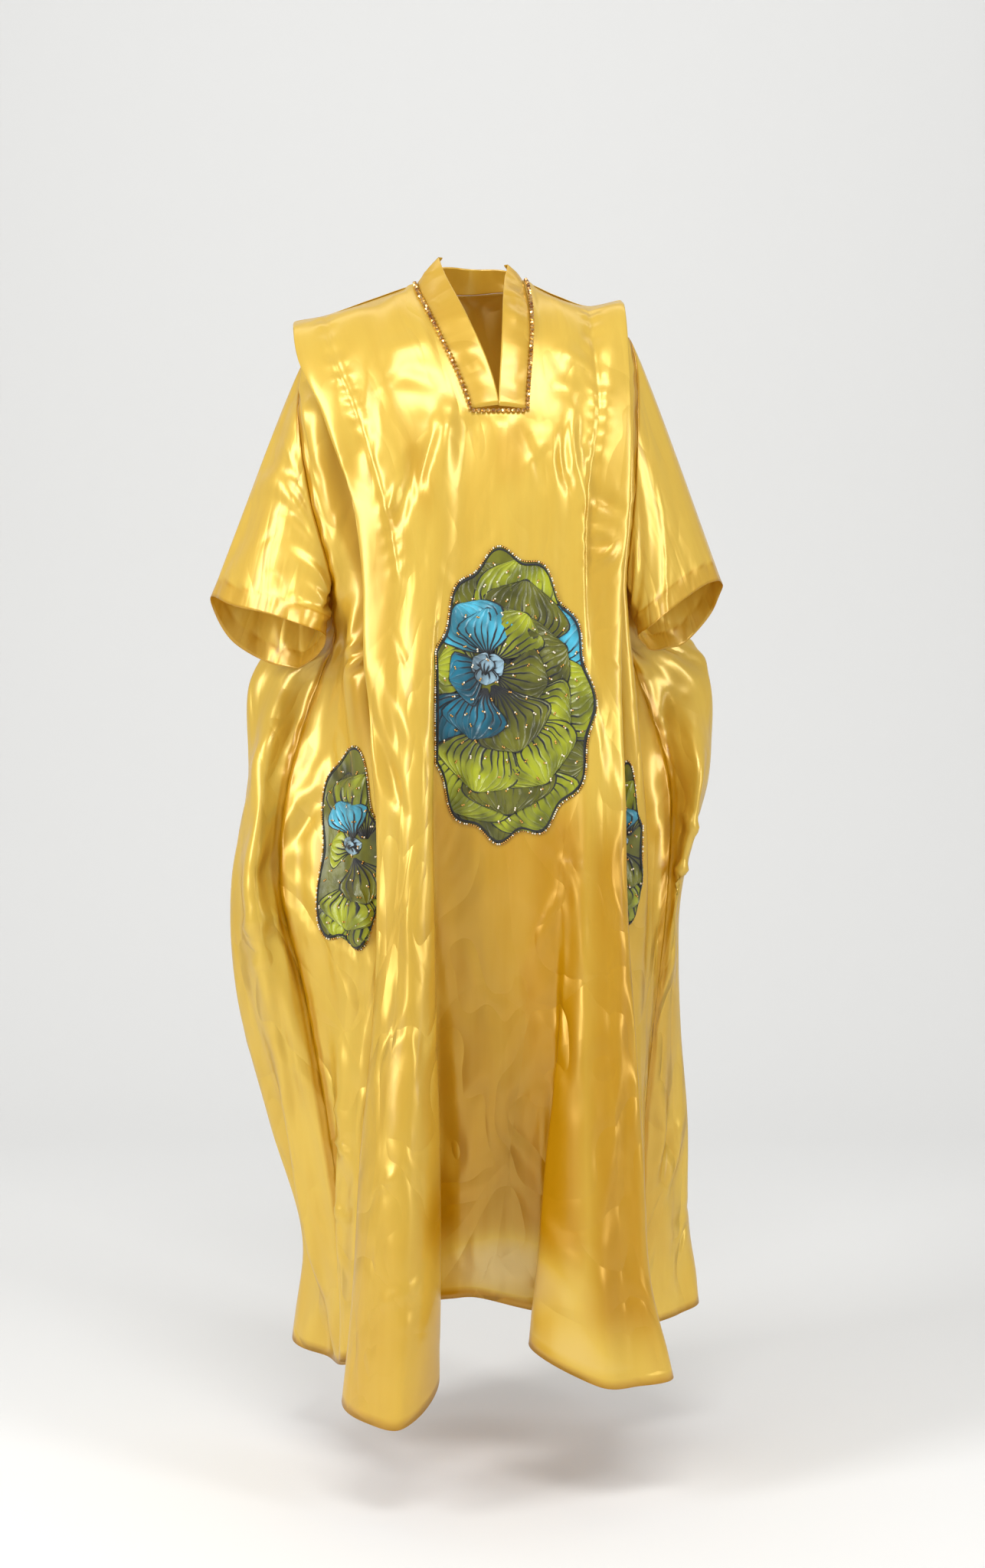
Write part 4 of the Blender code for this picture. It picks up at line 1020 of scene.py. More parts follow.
def sleeve(side, seed):
    """A sleeve as rows of rings, from the armhole down to the hem."""
    ring, shares = even_ring(armhole_ring(side), SLEEVE_AROUND)
    t = np.linspace(0, 1, SLEEVE_DOWN + 1)[:, None, None]
    rows = ring * (1 - t) + sleeve_hem(side, shares) * t
    bow, height = np.sin(math.pi * t[..., 0] ** BOW_EARLY), np.cos(2 * math.pi * shares)
    rows[..., 2] += SLEEVE_BOW * bow * np.clip(height, 0, 1)
    rows[..., 0] += (1 if side == "right" else -1) * UNDERARM_BOW * bow * np.clip(-height, 0, 1)
    way = rows[CLEARING_ROWS] - rows[0]
    along = unit(np.roll(ring, -1, axis=0) - np.roll(ring, 1, axis=0))
    way -= along * (way * along).sum(-1, keepdims=True)
    way[ring[:, 2] < ring[:, 2].min() + SOLID_GAP, 2] = 0
    fade = 1 - np.arange(CLEARING_ROWS) / CLEARING_ROWS
    rows[:CLEARING_ROWS] += unit(way) * (SOLID_WALL / 2 + SOLID_GAP) * fade[:, None, None]
    grid = np.concatenate([rows, rows[:, :1]], axis=1).transpose(1, 0, 2)
    if side == "left":
        grid = grid[::-1]
    out = cloth_normals(grid)
    out[0] = out[-1] = unit(out[0] + out[-1])
    across, down = lengths_along(grid, 0), lengths_along(grid, 1)
    flat = np.stack([across, -down], axis=-1)
    wide, long = float(across.max()) / MM, float(down.max()) / MM
    rise = add_creases(flat, scattered_creases((20, wide - 20, -long, -30), 40, 60, 5.0, 1.6, 20, seed))
    rise += soft_waves(flat, seed, 75, 3.2, 2.2)
    ends = to_side(across)
    rise *= calm(ends, 0.02) * calm(down, 0.03)
    off_stitches = to_hem(down) - TURN_UP
    puckers = np.sin(across / 0.0052 + 2.0 * np.sin(across / 0.045)) * np.exp(-(off_stitches / 0.007) ** 2)
    rise += CUFF_PUCKER * puckers * calm(ends, 0.01)
    double_and_painted_light = np.clip((ARMHOLE_SEAM - down) / SOFT, 0, 1)
    double_and_painted_light = np.maximum(double_and_painted_light, TURN_UP_SHARE * edge_strip(down, TURN_UP, SOFT))
    double_and_painted_light = np.maximum(double_and_painted_light, THREAD_SHARE * np.exp(-(off_stitches / THREAD) ** 2))
    double_and_painted_light = np.maximum(double_and_painted_light, RIM_SHARE * edge_strip(down, RIM, SOFT))
    lay_cloth(f"sleeve_cloth_{side}", grid + out * rise[..., None], double_and_painted_light, closed=True)


sleeve("left", 41)
sleeve("right", 42)

# %% [markdown]
# ## The neck band
# One straight strip, folded double, is sewn round the neckline and stands up round the neck. Its two ends
# meet at the foot of the V, where the front is cut square. Being double, it looks deeper than the front.

# %% Sew the neck band
NECK_BAND = np.array([
    # share of the way along, then the step from the seam to the free edge: x, y and z in mm
    (0.000, 33, -2, 2), (0.060, 40, -4, 12), (0.150, 41, -3, 13), (0.235, 36, -8, 15), (0.310, 31, -6, 26),
    (0.370, 26, 2, 38), (0.430, 16, -6, 38), (0.500, 4, -10, 34), (0.570, -8, -8, 31), (0.630, -14, 4, 24),
    (0.690, -23, -4, 16), (0.765, -36, -6, 11), (0.850, -37, -2, 10), (0.940, -36, -2, 6),
    (1.000, -34, -2, 3),
])
BAND_ACROSS = 18
BAND_CLOTH, BAND_SWELL, BAND_DOUBLE = 0.0011, 0.0016, 0.35
OFF_THE_SEAM = 0.0004
SMOOTH_OVER = 20  # points on each side


def neck_ring():
    """The neckline: from its left front corner up, round the back and down to the right corner."""
    low, back_low = row_of("neck_cut"), row_of("shoulder_front")
    rise, fall = loop[at["bneck_l"], 1:back_low], loop[at["bneck_r"], 1:back_low][::-1]
    behind = loop[at["bneck_r"]:at["bneck_l"] + 1, back_low][::-1]
    left, right = loop[at["neck_l"], :low + 1][::-1], loop[at["neck_r"], :low + 1]
    return np.vstack([left, rise, behind, fall, right])


def band_steps(ring):
    """For each point of the neckline, the step across the band to its free edge."""
    along = lengths_along(ring)
    return read_at(along / along[-1], NECK_BAND[:, 0], NECK_BAND[:, 1:]) * MM


def neck_band(ring):
    """The band from the neckline to its free edge, a little swollen in its middle."""
    kernel = np.hanning(2 * SMOOTH_OVER + 1)
    steps = np.pad(band_steps(ring), ((SMOOTH_OVER, SMOOTH_OVER), (0, 0)), mode="edge")
    steps = np.stack([np.convolve(column, kernel / kernel.sum(), "valid") for column in steps.T], axis=1)
    grid = ring[:, None] + steps[:, None] * np.linspace(0, 1, BAND_ACROSS + 1)[:, None]
    grid = grid + unit(steps)[:, None] * OFF_THE_SEAM
    out = cloth_normals(grid)
    along, over = lengths_along(grid, 0), lengths_along(grid, 1)
    flat = np.stack([along, over], axis=-1)
    long, middle = float(along.max()) / MM, np.sin(math.pi * over / over[:, -1:])
    rise = BAND_SWELL * middle
    rise += add_creases(flat, scattered_creases((20, long - 20, 4, 36), 16, 26, 3.4, 0.9, 70, 51))
    rise += soft_waves(flat, 52, 42, 1.6, 0.7) * middle
    lay_cloth("band_cloth", grid + out * rise[..., None], np.full(rise.shape, BAND_DOUBLE), wall=BAND_CLOTH)


ring = neck_ring()
neck_band(ring)

# %% [markdown]
# ## The beads on the neck seam
# Faceted glass beads with a bronze gleam hide the seam. Each is one low sphere with flat faces, turned by
# a different amount, so that each one catches the light in its own way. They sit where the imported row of
# beads is, one after the other along its middle.

# %% String the beads
BEAD = 0.0062
BEAD_PITCH = 1.02  # from bead to bead, in diameters
BEAD_OUT, BEAD_BACK = 0.0034, 0.0050  # how far a bead's middle sits out from the cloth, and off the seam
BESIDE = 6  # columns beside the neckline that the outward ways are measured from


def copies(name, shape, spots, turns=None, **marks):
    """One joined mesh with a copy of the shape at each spot, and a mark on the points of each copy."""
    corners = np.array([v.co for v in shape.vertices])
    # A new sphere's faces come in another order in each run, so they are sorted.
    faces = [np.array(face) for face in sorted((list(p.vertices) for p in shape.polygons), key=sorted)]
    turned = corners if turns is None else np.einsum("nij,vj->nvi", np.array(turns), corners)
    places = np.array(spots)[:, None] + turned
    every = [(face + n * len(corners)).tolist() for n in range(len(spots)) for face in faces]
    mesh = bpy.data.meshes.new(name)
    mesh.from_pydata(places.reshape(-1, 3).tolist(), [], every)
    for mark, values in marks.items():
        layer = mesh.attributes.new(mark, "FLOAT", "POINT")
        layer.data.foreach_set("value", np.repeat(np.array(values, float), len(corners)))
    made = pieces[name] = add_object(name, mesh)
    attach(made, "root")
    return made


def bead_places():
    """The seam from shoulder to shoulder round the V's foot, the way off the band there, and the way out of
    the cloth."""
    low = row_of("neck_cut")
    off_band = -unit(band_steps(ring))
    foot = loop[at["neck_l"] + 1:at["neck_r"], low][::-1]
    seam = np.vstack([ring[-low:], foot, ring[:low]])
    away = np.vstack([off_band[-low:], np.tile((0, 0, -1.0), (len(foot), 1)), off_band[:low]])
    normals = cloth_normals(loop[at["neck_l"] - BESIDE:at["neck_r"] + BESIDE + 1])
    left, right = normals[BESIDE, low:0:-1], normals[-BESIDE - 1, 1:low + 1]
    return seam, away, np.vstack([right, normals[BESIDE + 1:-BESIDE - 1, low][::-1], left])


def string_beads():
    """The row of beads, evenly spaced just off the neck seam."""
    seam, away, outs = bead_places()
    share_out = (away * outs).sum(-1, keepdims=True)
    stands = np.clip(np.abs(share_out) * 1.4, 0, 1)
    path = seam + outs * BEAD_OUT + unit(away - outs * share_out) * (BEAD_BACK * (0.2 + 0.8 * stands))
    along = lengths_along(path)
    count = int(along[-1] / (BEAD * BEAD_PITCH))
    dice = np.random.default_rng(61)
    spots = read_at(np.linspace(BEAD / 2, along[-1] - BEAD / 2, count), along, path)
    turns = [Vector(dice.normal(size=3)).normalized().to_track_quat("Z", "Y").to_matrix() for _ in spots]
    bm = bmesh.new()
    bmesh.ops.create_icosphere(bm, subdivisions=1, radius=BEAD / 2)
    copies("neck_bead_row", mesh_from("faceted_bead", bm), spots, turns)
    print(count, "beads along", round(float(along[-1]), 3), "metres of seam")


string_beads()

# %% [markdown]
# ## The padded flowers
# Each flower is cut from scraps of shiny cloth, padded, laid petal over petal and sewn down with dark
# thread, with a cord and a row of small beads round its edge. The layout is a plain garden rosette, written
# as a short table, with the lowest petal first.

# %% Write down the flowers' layout
FLOWERS = {
    # panel, middle x and z, half width and half height in mm, scallops, x limits, step to the heart
    "flower_centre": ("front_cloth", 32, -523, 104, 184, 11, -64, 150, (-28, 42)),
    "flower_left": ("side_cloth_left", -176, -727, 46, 130, 5, -238, -136, (4, 12)),
    "flower_right": ("side_cloth_right", 180, -716, 26, 104, 5, 158, 204, (-3, 10)),
}
BIG = 60  # mm of half width, from which a flower counts as big
SCALLOP, SMALL_SCALLOP = 0.04, 0.104  # how deep the outline is scalloped, as a share of the half sizes
LIME = (0.240, 0.265, 0.006)
OLIVE = (0.100, 0.102, 0.004)
TURQUOISE = (0.050, 0.330, 0.460)
TEAL = (0.006, 0.115, 0.180)
HEART = (0.190, 0.300, 0.370)
DARK = (0.006, 0.008, 0.009)
BLOOM = (
    # base and tip as shares of the half sizes, half width in mm on the big flower, bend, shade
    ((0.00, 0.30), (-0.42, 0.92), 54, -8, OLIVE),
    ((0.10, 0.30), (0.26, 0.97), 56, 6, LIME),
    ((0.25, 0.10), (0.86, 0.60), 46, 9, TURQUOISE),
    ((0.10, -0.45), (-0.12, -1.00), 60, -6, OLIVE),
    ((0.10, -0.30), (0.92, -0.40), 54, 9, OLIVE),
    ((0.05, -0.40), (0.52, -0.88), 54, -8, LIME),
    ((0.20, -0.05), (1.02, 0.10), 50, -8, LIME),
    ((-0.15, -0.35), (-0.72, -0.76), 52, 8, LIME),
    ((-0.30, 0.00), (-0.92, -0.30), 52, 8, OLIVE),
    ((-0.35, 0.15), (-0.92, 0.22), 42, -6, LIME),
    ((-0.05, 0.25), (0.18, 0.80), 50, -9, OLIVE),
    ((0.05, 0.15), (0.66, 0.36), 48, 9, OLIVE),
    ((-0.12, -0.25), (-0.02, -0.78), 54, 8, OLIVE),
    ((0.00, 0.00), (0.70, -0.18), 52, -9, LIME),
    ((-0.28, 0.05), (-0.78, -0.36), 46, -9, TEAL),
    ((-0.05, -0.15), (0.44, -0.56), 54, 9, LIME),
    ((-0.15, -0.15), (-0.42, -0.62), 50, -7, LIME),
    ((-0.20, 0.26), (0.18, 0.58), 40, 7, LIME),
    ((-0.20, 0.18), (0.42, 0.12), 40, -7, OLIVE),
    ((-0.25, 0.30), (-0.66, 0.64), 38, -5, TURQUOISE),
    ((-0.22, 0.10), (0.10, -0.34), 44, 7, OLIVE),
    ((-0.30, 0.08), (-0.46, -0.26), 38, -6, TEAL),
    ((-0.30, 0.22), (-0.74, 0.14), 32, 5, TEAL),
    ((-0.26, 0.30), (-0.26, 0.62), 32, 4, TURQUOISE),
)
SMALL_BLOOM = [BLOOM[k] for k in (0, 1, 3, 7, 5, 9, 15, 16, 20, 19)]
print(len(BLOOM), "petals in the big flower and", len(SMALL_BLOOM), "in each small one")

# %% [markdown]
# ## A bed for the petals
# A flat picture on the cloth would lose the padding, so every petal is a small domed grid that rests on
# what lies under it. A map of heights remembers how thick the pile already is. The cloth under a petal is
# found by a ray from the front.

# %% Make the flower bed
MAP_CELL = 1.5  # mm
MAP_SMOOTH = ((0, 0), (3, 0), (-3, 0), (0, 3), (0, -3))  # steps in mm to the places a height is averaged from
LAYER = 0.85  # mm that a petal's edge stands above what it lies on
HIGHEST_PILE = 7.5  # mm
ROW, COLUMN = 5, 2.6  # mm between the points of a petal's grid, along it and across it
VEIN = 8.5  # mm of half width for each vein


def cloth_tree(piece):
    """A search tree of the piece's faces, for the rays."""
    mesh = piece.data
    return BVHTree.FromPolygons([v.co for v in mesh.vertices], [tuple(p.vertices) for p in mesh.polygons])


class FlowerBed:
    """One flower's place on its cloth, its outline, and how high the petals are piled."""

    def __init__(self, name):
        panel, x, z, wide, high, self.scallops, self.low, self.top, heart = FLOWERS[name]
        self.tree, self.last_y = cloth_tree(pieces[panel]), 0.0
        self.middle, self.half = np.array([x, z], float), np.array([wide, high], float)
        self.heart = self.middle + heart
        self.cells = np.zeros((int(2.4 * wide / MAP_CELL) + 8, int(2.4 * high / MAP_CELL) + 8))
        self.corner = self.middle - self.half * 1.2
        self.bm = bmesh.new()
        self.petal_uv = self.bm.loops.layers.uv.new("petal")
        self.cloth_uv = self.bm.loops.layers.uv.new("cloth")
        self.tint = self.bm.verts.layers.float_color.new("tint")
        self.wide = self.bm.verts.layers.float.new("half_width")
        self.count = self.bm.verts.layers.float.new("veins")

    def reach(self, angle):
        """The outline's distance from the middle, as a share of the half sizes."""
        deep = SCALLOP if self.half[0] > BIG else SMALL_SCALLOP
        edge = 1 + deep * np.cos(self.scallops * angle) + deep * np.cos(3 * angle + 1)
        across = self.half[0] * np.cos(angle)
        limit, aside = np.where(across > 0, self.top, self.low) - self.middle[0], np.abs(across) > 1
        return np.minimum(edge, np.where(aside, limit / np.where(aside, across, 1), edge))

    def outline(self, angle, share=1.0):
        """The outline's points at those angles."""
        way = np.stack([np.cos(angle), np.sin(angle)], axis=-1)
        return self.middle + way * self.half * (self.reach(angle) * share)[..., None]

    def inside(self, spots, share=0.985):
        """The spots, with those past the outline drawn back onto it."""
        way = (spots - self.middle) / self.half
        angle, far = np.arctan2(way[..., 1], way[..., 0]), np.linalg.norm(way, axis=-1)
        limit = self.reach(angle) * share
        return self.middle + (spots - self.middle) * np.minimum(1, limit / np.maximum(far, 1e-6))[..., None]

    def cell(self, spots):
        """The spots' cells in the map of heights."""
        k = np.rint((spots - self.corner) / MAP_CELL).astype(int)
        return np.clip(k[..., 0], 0, self.cells.shape[0] - 1), np.clip(k[..., 1], 0, self.cells.shape[1] - 1)

    def pile(self, spots):
        """The pile's height at the spots, in mm, a little smoothed."""
        return sum(self.cells[self.cell(spots + step)] for step in MAP_SMOOTH) / len(MAP_SMOOTH)

    def place(self, spot, height):
        """The point that many mm above the cloth."""
        here, normal = self.tree.ray_cast(Vector((spot[0] * MM, -1.0, spot[1] * MM)), Vector((0, 1, 0)))[:2]
        if here is None:
            here, normal = self.tree.find_nearest(Vector((spot[0] * MM, self.last_y, spot[1] * MM)))[:2]
        self.last_y = here.y
        return here + (-normal if normal.y > 0 else normal) * height * MM

    def patch(self, spots, heights, s, t, half, shade, long, veins=0.5):
        """Adds one domed grid to the flower: spots and heights are (along, across)."""
        rows, columns = s.shape
        bm, j, i = flat_grid(columns, rows)
        made = []
        for k in zip(i, j):
            vert = self.bm.verts.new(self.place(spots[k], heights[k]))
            vert[self.tint], vert[self.wide], vert[self.count] = (*shade, 1.0), float(half[k]), veins
            made.append(vert)
        for face in bm.faces:
            new = self.bm.faces.new([made[v.index] for v in face.verts])
            for corner, v in zip(new.loops, face.verts):
                k = i[v.index], j[v.index]
                corner[self.petal_uv].uv = (s[k], t[k])
                corner[self.cloth_uv].uv = (s[k] * long * MM, t[k] * half[k] * MM)
        bm.free()

    def petal(self, base, tip, half_width, bend, dome, shade, seed):
        """A padded petal from its base to its tip. bend curves it, dome is how high it is stuffed."""
        dice = np.random.default_rng(seed)
        base, tip = np.array(base, float), np.array(tip, float)
        long = float(np.linalg.norm(tip - base))
        way = (tip - base) / long
        side = np.array([-way[1], way[0]])
        rows, columns = max(10, int(long / ROW)), max(9, int(half_width / COLUMN) * 2 + 1)
        s, t = np.meshgrid(np.linspace(0, 1, rows), np.linspace(-1, 1, columns), indexing="ij")
        swell = np.sin(math.pi * np.clip(s, 0, 1) ** 1.35 * 0.97 + 0.03) ** 0.62
        swell = np.maximum(swell * (0.5 + 0.5 * np.sin(math.pi * s**1.1 / 1.25)) * 1.15, 0.05)
        ruffle = 1 + 0.05 * np.sin(s * dice.uniform(9, 14) + dice.uniform(0, 6)) * np.sign(t)
        half = half_width * swell * ruffle
        along = long * (s + 0.05 * (1 - t**2) * s)
        aside = t * half + bend * np.sin(math.pi * s)
        spots = self.inside(base + way * along[..., None] + side * aside[..., None])
        folds = 0.28 * np.sin(t * 9 + dice.uniform(0, 6) + 2 * s) * (1 - s) + 0.22 * np.sin(s * 17 + 3 * t)
        stuffed = dome * (1 - np.abs(t) ** 2.6) ** 0.7 * np.sin(math.pi * (0.1 + 0.86 * s)) ** 0.6
        heights = self.pile(spots) + LAYER + stuffed + folds * (1 - t**2)
        self.patch(spots, heights, s, t, half, shade, long, max(2.0, half_width / VEIN))
        fine_s, fine_t = np.meshgrid(np.linspace(0, 1, 90), np.linspace(-1, 1, 60), indexing="ij")
        here = np.stack([interpolate(spots[..., k], fine_s, fine_t) for k in (0, 1)], -1)
        high = np.minimum(interpolate(heights, fine_s, fine_t), HIGHEST_PILE)
        np.maximum.at(self.cells, self.cell(here), high)


def interpolate(values, s, t):
    """Values on a petal's grid, read between its points."""
    rows, columns = values.shape
    x, y = s * (rows - 1), (t + 1) / 2 * (columns - 1)
    i, j = np.minimum(x.astype(int), rows - 2), np.minimum(y.astype(int), columns - 2)
    fx, fy = x - i, y - j
    first = values[i, j] * (1 - fy) + values[i, j + 1] * fy
    second = values[i + 1, j] * (1 - fy) + values[i + 1, j + 1] * fy
    return first * (1 - fx) + second * fx


print("flower bed ready")

# %% [markdown]
# ## Growing the flowers
# The backing comes first, then the petals one over the other, then the dark cord, and last the heart, a
# bud of three petals round a fourth one.

# %% Lay the petals
BUD = 17  # mm, the size of the big flower's heart
TABLE_HEART = (-0.28, 0.22)  # where the heart is in the table of petals
FULL_SIZE = 80  # mm of half width, from which the petals are as wide as the table says
FAR, LONG = 40.0, 100.0  # a half width in mm that keeps the thread off the backing, and a length for it
CORD_IN, CORD_HALF, CORD_LIFT, CORD_HIGH = 2.4, 1.5, 0.5, 1.1  # mm, the cord's place, half width and height


def ground(bed):
    """The backing that the petals are sewn on: rings of points out to the outline."""
    s, angle = np.meshgrid(np.linspace(0.02, 1, 34), np.linspace(0, 2 * math.pi, 145), indexing="ij")
    spots = bed.middle + (bed.outline(angle) - bed.middle) * s[..., None]
    heights = 0.9 - 0.6 * np.clip((s - 0.97) / 0.03, 0, 1)
    bed.patch(spots, heights, s * 0 + 0.5, s * 0, s * 0 + FAR, OLIVE, LONG)


def cord(bed):
    """The dark cord just inside the outline: a narrow domed strip round the flower."""
    angle, across = np.meshgrid(np.linspace(0, 2 * math.pi, 420), np.linspace(-1, 1, 5), indexing="ij")
    edge = bed.outline(angle, 0.985)
    spots = edge + unit(bed.middle - edge) * (CORD_IN + CORD_HALF * across)[..., None]
    heights = CORD_LIFT + bed.pile(spots) + CORD_HIGH * np.sqrt(1 - across**2)
    bed.patch(spots, heights, across * 0, across * 0 + 1.0, across * 0 + 0.1, DARK, LONG)


def grow_flower(name, seed):
    """Lays all of one flower's cloth, and returns its bed."""
    bed = FlowerBed(name)
    ground(bed)
    small = min(1.0, bed.half[0] / FULL_SIZE)
    share, bloom = (1.0, BLOOM) if small == 1 else (0.45 + 0.5 * small, SMALL_BLOOM)
    for n, (base, tip, half_width, bend, shade) in enumerate(bloom):
        ends = [bed.heart + (np.array(end) - TABLE_HEART) * bed.half for end in (base, tip)]
        bed.petal(*ends, half_width * share, bend * share, 2.0 - 0.02 * n, shade, seed + n)
    cord(bed)
    bud = BUD * max(small, 0.42)
    for k, turn in enumerate((0.4, 2.5, 4.6)):
        way = np.array([math.cos(turn), math.sin(turn)]) * bud
        bed.petal(bed.heart - way * 0.35, bed.heart + way * 1.25, bud * 0.85, 0, 1.6, HEART, seed + 60 + k)
    ends = [bed.heart + np.array(step) * bud for step in ((-0.1, -0.55), (0.1, 0.7))]
    bed.petal(*ends, bud * 0.55, 0, 1.6, HEART, seed + 70)
    mesh = mesh_from(f"{name}_petals", bed.bm)
    mesh.shade_smooth()
    made = pieces[mesh.name] = add_object(mesh.name, mesh)
    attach(made, "root")
    print(name, len(mesh.polygons), "faces, piled", round(float(bed.cells.max()), 1), "mm high")
    return bed


beds = {name: grow_flower(name, 100 * (n + 1)) for n, name in enumerate(FLOWERS)}

# %% [markdown]
# ## The flowers' beads
# Small gold and pearl beads follow each flower's edge one by one, over a dark cord. More of them are
# sewn on the petals in twos. They are one joined mesh of low spheres for each flower.

# %% Sew the small beads on
SMALL_BEAD = 2.7  # mm
SMALL_PITCH = 1.12  # from bead to bead along the edge, in diameters
EDGE_HEIGHT, PETAL_HEIGHT = 1.9, 0.9  # mm from the cloth, or from the petals, to a bead's middle
PEARLS = 0.4  # of all the small beads


def bead_flower(name, bed, spacing, seed):
    """Beads round the flower's edge, and pairs on its petals, spacing mm apart on a loose grid."""
    dice = np.random.default_rng(seed)
    line = bed.outline(np.linspace(0, 2 * math.pi, 1500), 0.992)
    along = lengths_along(line)
    count = int(along[-1] / (SMALL_BEAD * SMALL_PITCH))
    seats = read_at(np.linspace(0, along[-1], count, endpoint=False), along, line)
    edge = [bed.place(seat, EDGE_HEIGHT) for seat in seats]
    sparks = []
    step = spacing * 0.87
    for r in range(int(2 * bed.half[1] / step)):
        for c in range(int(2 * bed.half[0] / spacing) + 1):
            spot = bed.middle - bed.half + np.array([(c + 0.5 * (r % 2)) * spacing, (r + 0.5) * step])
            spot = spot + dice.normal(0, spacing * 0.14, 2)
            if np.linalg.norm(bed.inside(spot, 0.93) - spot) > 0.01:
                continue
            turn = dice.uniform(0, math.pi)
            way = np.array([math.cos(turn), math.sin(turn)]) * SMALL_BEAD * 0.47
            for here in (spot - way, spot + way):
                sparks.append(bed.place(here, float(bed.pile(here)) + PETAL_HEIGHT))
    pearls = dice.random(len(edge) + len(sparks)) < PEARLS
    bm = bmesh.new()
    bmesh.ops.create_uvsphere(bm, u_segments=6, v_segments=4, radius=SMALL_BEAD / 2 * MM)
    copies(f"{name}_beads", mesh_from("small_bead", bm), edge + sparks, pearl=pearls).data.shade_smooth()
    print(name, count, "beads round the edge and", len(sparks) // 2, "pairs on the petals")


for n, (name, bed) in enumerate(beds.items()):
    bead_flower(name, bed, 23 if n == 0 else 19, 200 + n)

# %% [markdown]
# ## The satin
# Satin organza is woven from fine, stiff, shiny threads, so it mirrors light in soft streaks along the
# threads and lets some light through. One layer is pale, two are deeper, and hems and seams look amber.
# So the colour follows a mark painted on the points, which is above 0 where layers lie behind and where
# painted shade darkens the folds' recesses, and below 0 where a single one hangs alone and is painted
# paler for the light that comes through it. The finest crinkles are a bump, stronger towards the hem. The
# light that comes through is a translucent part mixed into the shader.

# %% Mix the satin
# The pale gold painted where light comes through a single layer.
SHEER_GLOW_GOLD = (0.90, 0.72, 0.34)
PALE_GOLD = (0.85, 0.60, 0.085)
AMBER = (0.64, 0.325, 0.001)
GLOW = 0.30  # how much of the light comes through the cloth


def satin():
    finish = Finish("gold_satin", Metallic=0.19, IOR=1.85, Roughness=0.31, Specular_IOR_Level=0.55,
                    Specular_Tint=(1.0, 0.87, 0.50, 1.0), Coat_Weight=0.55, Coat_Roughness=0.21)
    double_and_painted_light = finish.mark("double_and_painted_light")
    clouds = finish.noise(finish.uv((9, 4, 1)))
    fibres = finish.noise(finish.uv((60, 6, 1)), roughness=0.6)
    uneven = finish.stretch(clouds * 0.6 + fibres * 0.4, 0.38, 0.64, 0.0, 0.20)
    # Painted shade and light: the mark deepens the colour where the cloth is double and where shade is
    # painted, and below 0 pales it where light through a single layer is painted.
    shade = finish.blend((uneven + double_and_painted_light).least(1.0), PALE_GOLD, AMBER)
    shade = finish.blend((double_and_painted_light * -1.0).most(0.0), shade, SHEER_GLOW_GOLD)
    finish.set("Base Color", shade)

    crinkle = finish.noise(finish.uv((40, 16, 1)), detail=1.0, warp=0.5)
    where = finish.uv((9, 3.6, 1), 0.25)
    drift = finish.node("ShaderNodeTexNoise", {}, {"Vector": where, "Scale": 0.8, "Detail": 0.0}, output=1)
    facets = finish.node("ShaderNodeTexVoronoi", {"feature": "DISTANCE_TO_EDGE"},
                         {"Vector": finish.blend(0.4, where, drift), "Scale": 1.4})
    ridges = (finish.noise(finish.uv((17, 9, 1), -0.6), detail=0.0, warp=0.8) - 0.5).size()
    lower = finish.stretch(finish.part(finish.place(), 2), -0.95, -0.45, 3.2, 0.8)
    height = crinkle * 0.8 + (facets.least(0.30) * 6.0 + ridges * 4.5) * lower
    finish.set("Normal", finish.bump(height, 0.001))

    through = finish.node("ShaderNodeBsdfTranslucent", {}, {"Color": shade})
    face = Amount(finish, finish.shader.outputs[0])
    mixed = finish.node("ShaderNodeMixShader", {}, {0: GLOW, 1: face, 2: through})
    finish.tree.links.new(mixed.socket, finish.tree.nodes["Material Output"].inputs["Surface"])
    return finish.material


def dress(names, material):
    """Gives the pieces their material."""
    for name in names:
        pieces[name].data.materials.append(material)
    print(material.name, "on", len(names), "pieces")


dress([name for name in pieces if "cloth" in name], satin())

# %% [markdown]
# ## The petals' cloth
# The petals are shiny lining cloth. Dark thread runs along each edge and in veins from the base, and
# pulls the padding in. The thread's width has to be the same on wide and narrow petals, so the piece
# carries its half width, and the distance to the nearest vein is worked out in millimetres.

# %% Mix the petals' cloth
THREAD_BLUE = (0.005, 0.006, 0.009)


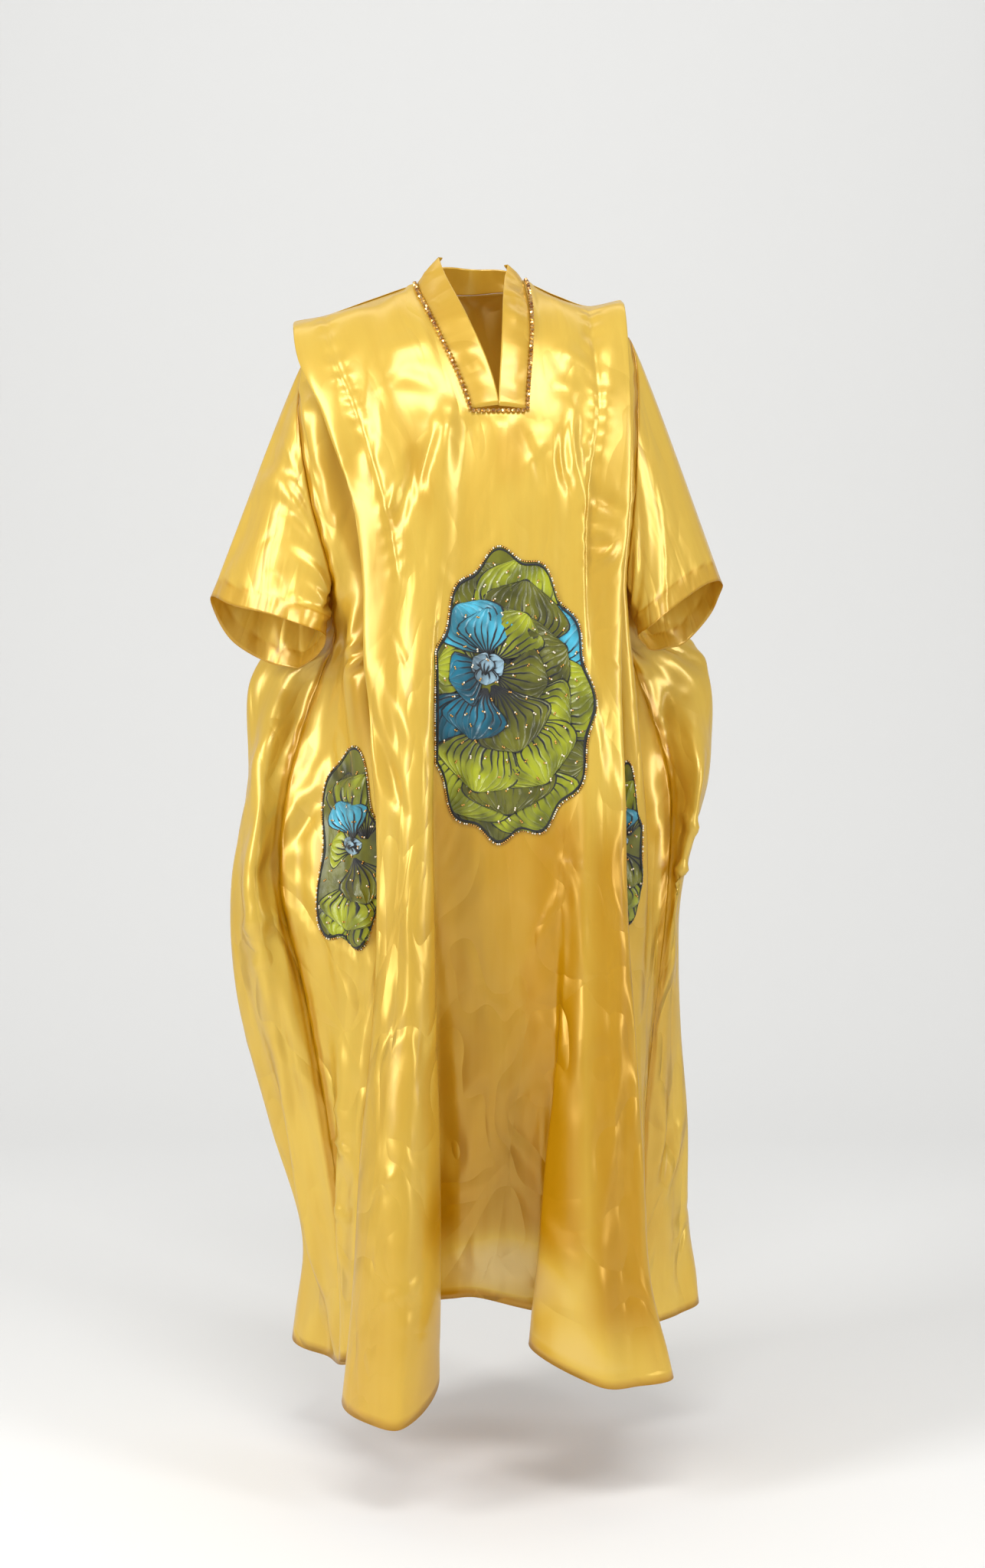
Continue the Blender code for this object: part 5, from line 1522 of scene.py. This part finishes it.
def petal_cloth():
    finish = Finish("petal_cloth", Roughness=0.42, Sheen_Weight=0.2)
    flat = finish.node("ShaderNodeUVMap", {"uv_map": "petal"})
    along, across = finish.part(flat, 0), finish.part(flat, 1)
    half, veins = finish.mark("half_width"), finish.mark("veins")
    bent = across + (finish.noise(finish.place((38, 38, 38)), detail=1.0) - 0.5) * 0.24
    vein_mm = finish.maths("PINGPONG", bent * veins + 0.5, 0.5) * half / veins
    reach = along + finish.noise(finish.uv((0, 60, 1))) * 0.5
    vein = finish.stretch(vein_mm, 0.80, 1.45, 1.0, 0.0) * finish.stretch(reach, 0.82, 0.97, 1.0, 0.0)
    edge_mm = (1.0 - across.size()) * half
    edge = finish.stretch(edge_mm, 1.5, 2.5, 1.0, 0.0).most(finish.stretch(along, 0.965, 0.985))
    thread = vein.most(edge)
    # Painted shade and light: each petal darker towards its base, where the padding dips, and mottled painted
    # light and shade over it.
    light = finish.noise(finish.place((30, 30, 22)))
    lit = finish.stretch(light, 0.38, 0.64, 0.50, 1.45) * finish.stretch(along, 0.0, 0.55, 0.40, 1.0)
    scale = {0: finish.mark("tint", 0), "Scale": lit}
    shade = finish.node("ShaderNodeVectorMath", {"operation": "SCALE"}, scale)
    finish.set("Base Color", finish.blend(thread, shade, THREAD_BLUE))
    finish.set("Roughness", finish.stretch(thread, 0.0, 1.0, 0.30, 0.7))
    crinkle = finish.noise(finish.place((150, 150, 90)), detail=3.0)
    padding = finish.stretch(vein_mm.least(edge_mm), 0.0, 3.2) ** 0.5
    finish.set("Normal", finish.bump(crinkle * 0.35 + padding, 0.0016, 0.8))
    return finish.material


dress([f"{name}_petals" for name in FLOWERS], petal_cloth())

# %% [markdown]
# ## The beads' glass
# The neck's beads are bronze glass with a metal coat, nearly black where they mirror the dark. The small
# ones are gold, and here and there a pearl.

# %% Mix the bead glass
BRONZE, LIGHT_BRONZE = (0.32, 0.12, 0.03), (0.85, 0.53, 0.18)
GOLD_BEAD, PEARL = (0.62, 0.32, 0.07), (0.84, 0.74, 0.58)


def bead_glass():
    finish = Finish("bronze_glass", Metallic=0.9, Roughness=0.12, Coat_Weight=0.6, Coat_Roughness=0.05)
    tint = finish.noise(finish.place((90, 90, 90)), detail=1.0)
    finish.set("Base Color", finish.blend(finish.stretch(tint, 0.35, 0.65), BRONZE, LIGHT_BRONZE))
    return finish.material


def small_bead_glass():
    finish = Finish("small_bead_glass", Roughness=0.2, Coat_Weight=0.5, Coat_Roughness=0.08)
    pearl = finish.mark("pearl")
    finish.set("Base Color", finish.blend(pearl, GOLD_BEAD, PEARL))
    finish.set("Metallic", finish.stretch(pearl, 0.0, 1.0, 0.85, 0.1))
    return finish.material


dress(["neck_bead_row"], bead_glass())
dress([f"{name}_beads" for name in FLOWERS], small_bead_glass())

# %% [markdown]
# ## What stands for what
# Every imported solid is hidden and stays for collision, and the piece that stands for it says so.

# %% Tie the pieces to the imported solids
STANDS_FOR = {
    "front_cloth": ("front_panel", "body_cloth"),
    "back_cloth": ("back_panel", "body_cloth"),
    "side_cloth_left": ("side_front_left", "body_cloth"),
    "side_cloth_right": ("side_front_right", "body_cloth"),
    "wing_cloth_left": ("side_back_left", "body_cloth"),
    "wing_cloth_right": ("side_back_right", "body_cloth"),
    "sleeve_cloth_left": ("sleeve_left", "body_cloth"),
    "sleeve_cloth_right": ("sleeve_right", "body_cloth"),
    "band_cloth": ("neck_band", "band_cloth"),
    "neck_bead_row": ("neck_beads", "beads"),
    "flower_centre_petals": ("flower_centre", "applique"),
    "flower_left_petals": ("flower_left", "applique"),
    "flower_right_petals": ("flower_right", "applique"),
}
for name, (node, slot) in STANDS_FOR.items():
    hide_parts(node)
print(len(STANDS_FOR), "pieces stand for packed solids")
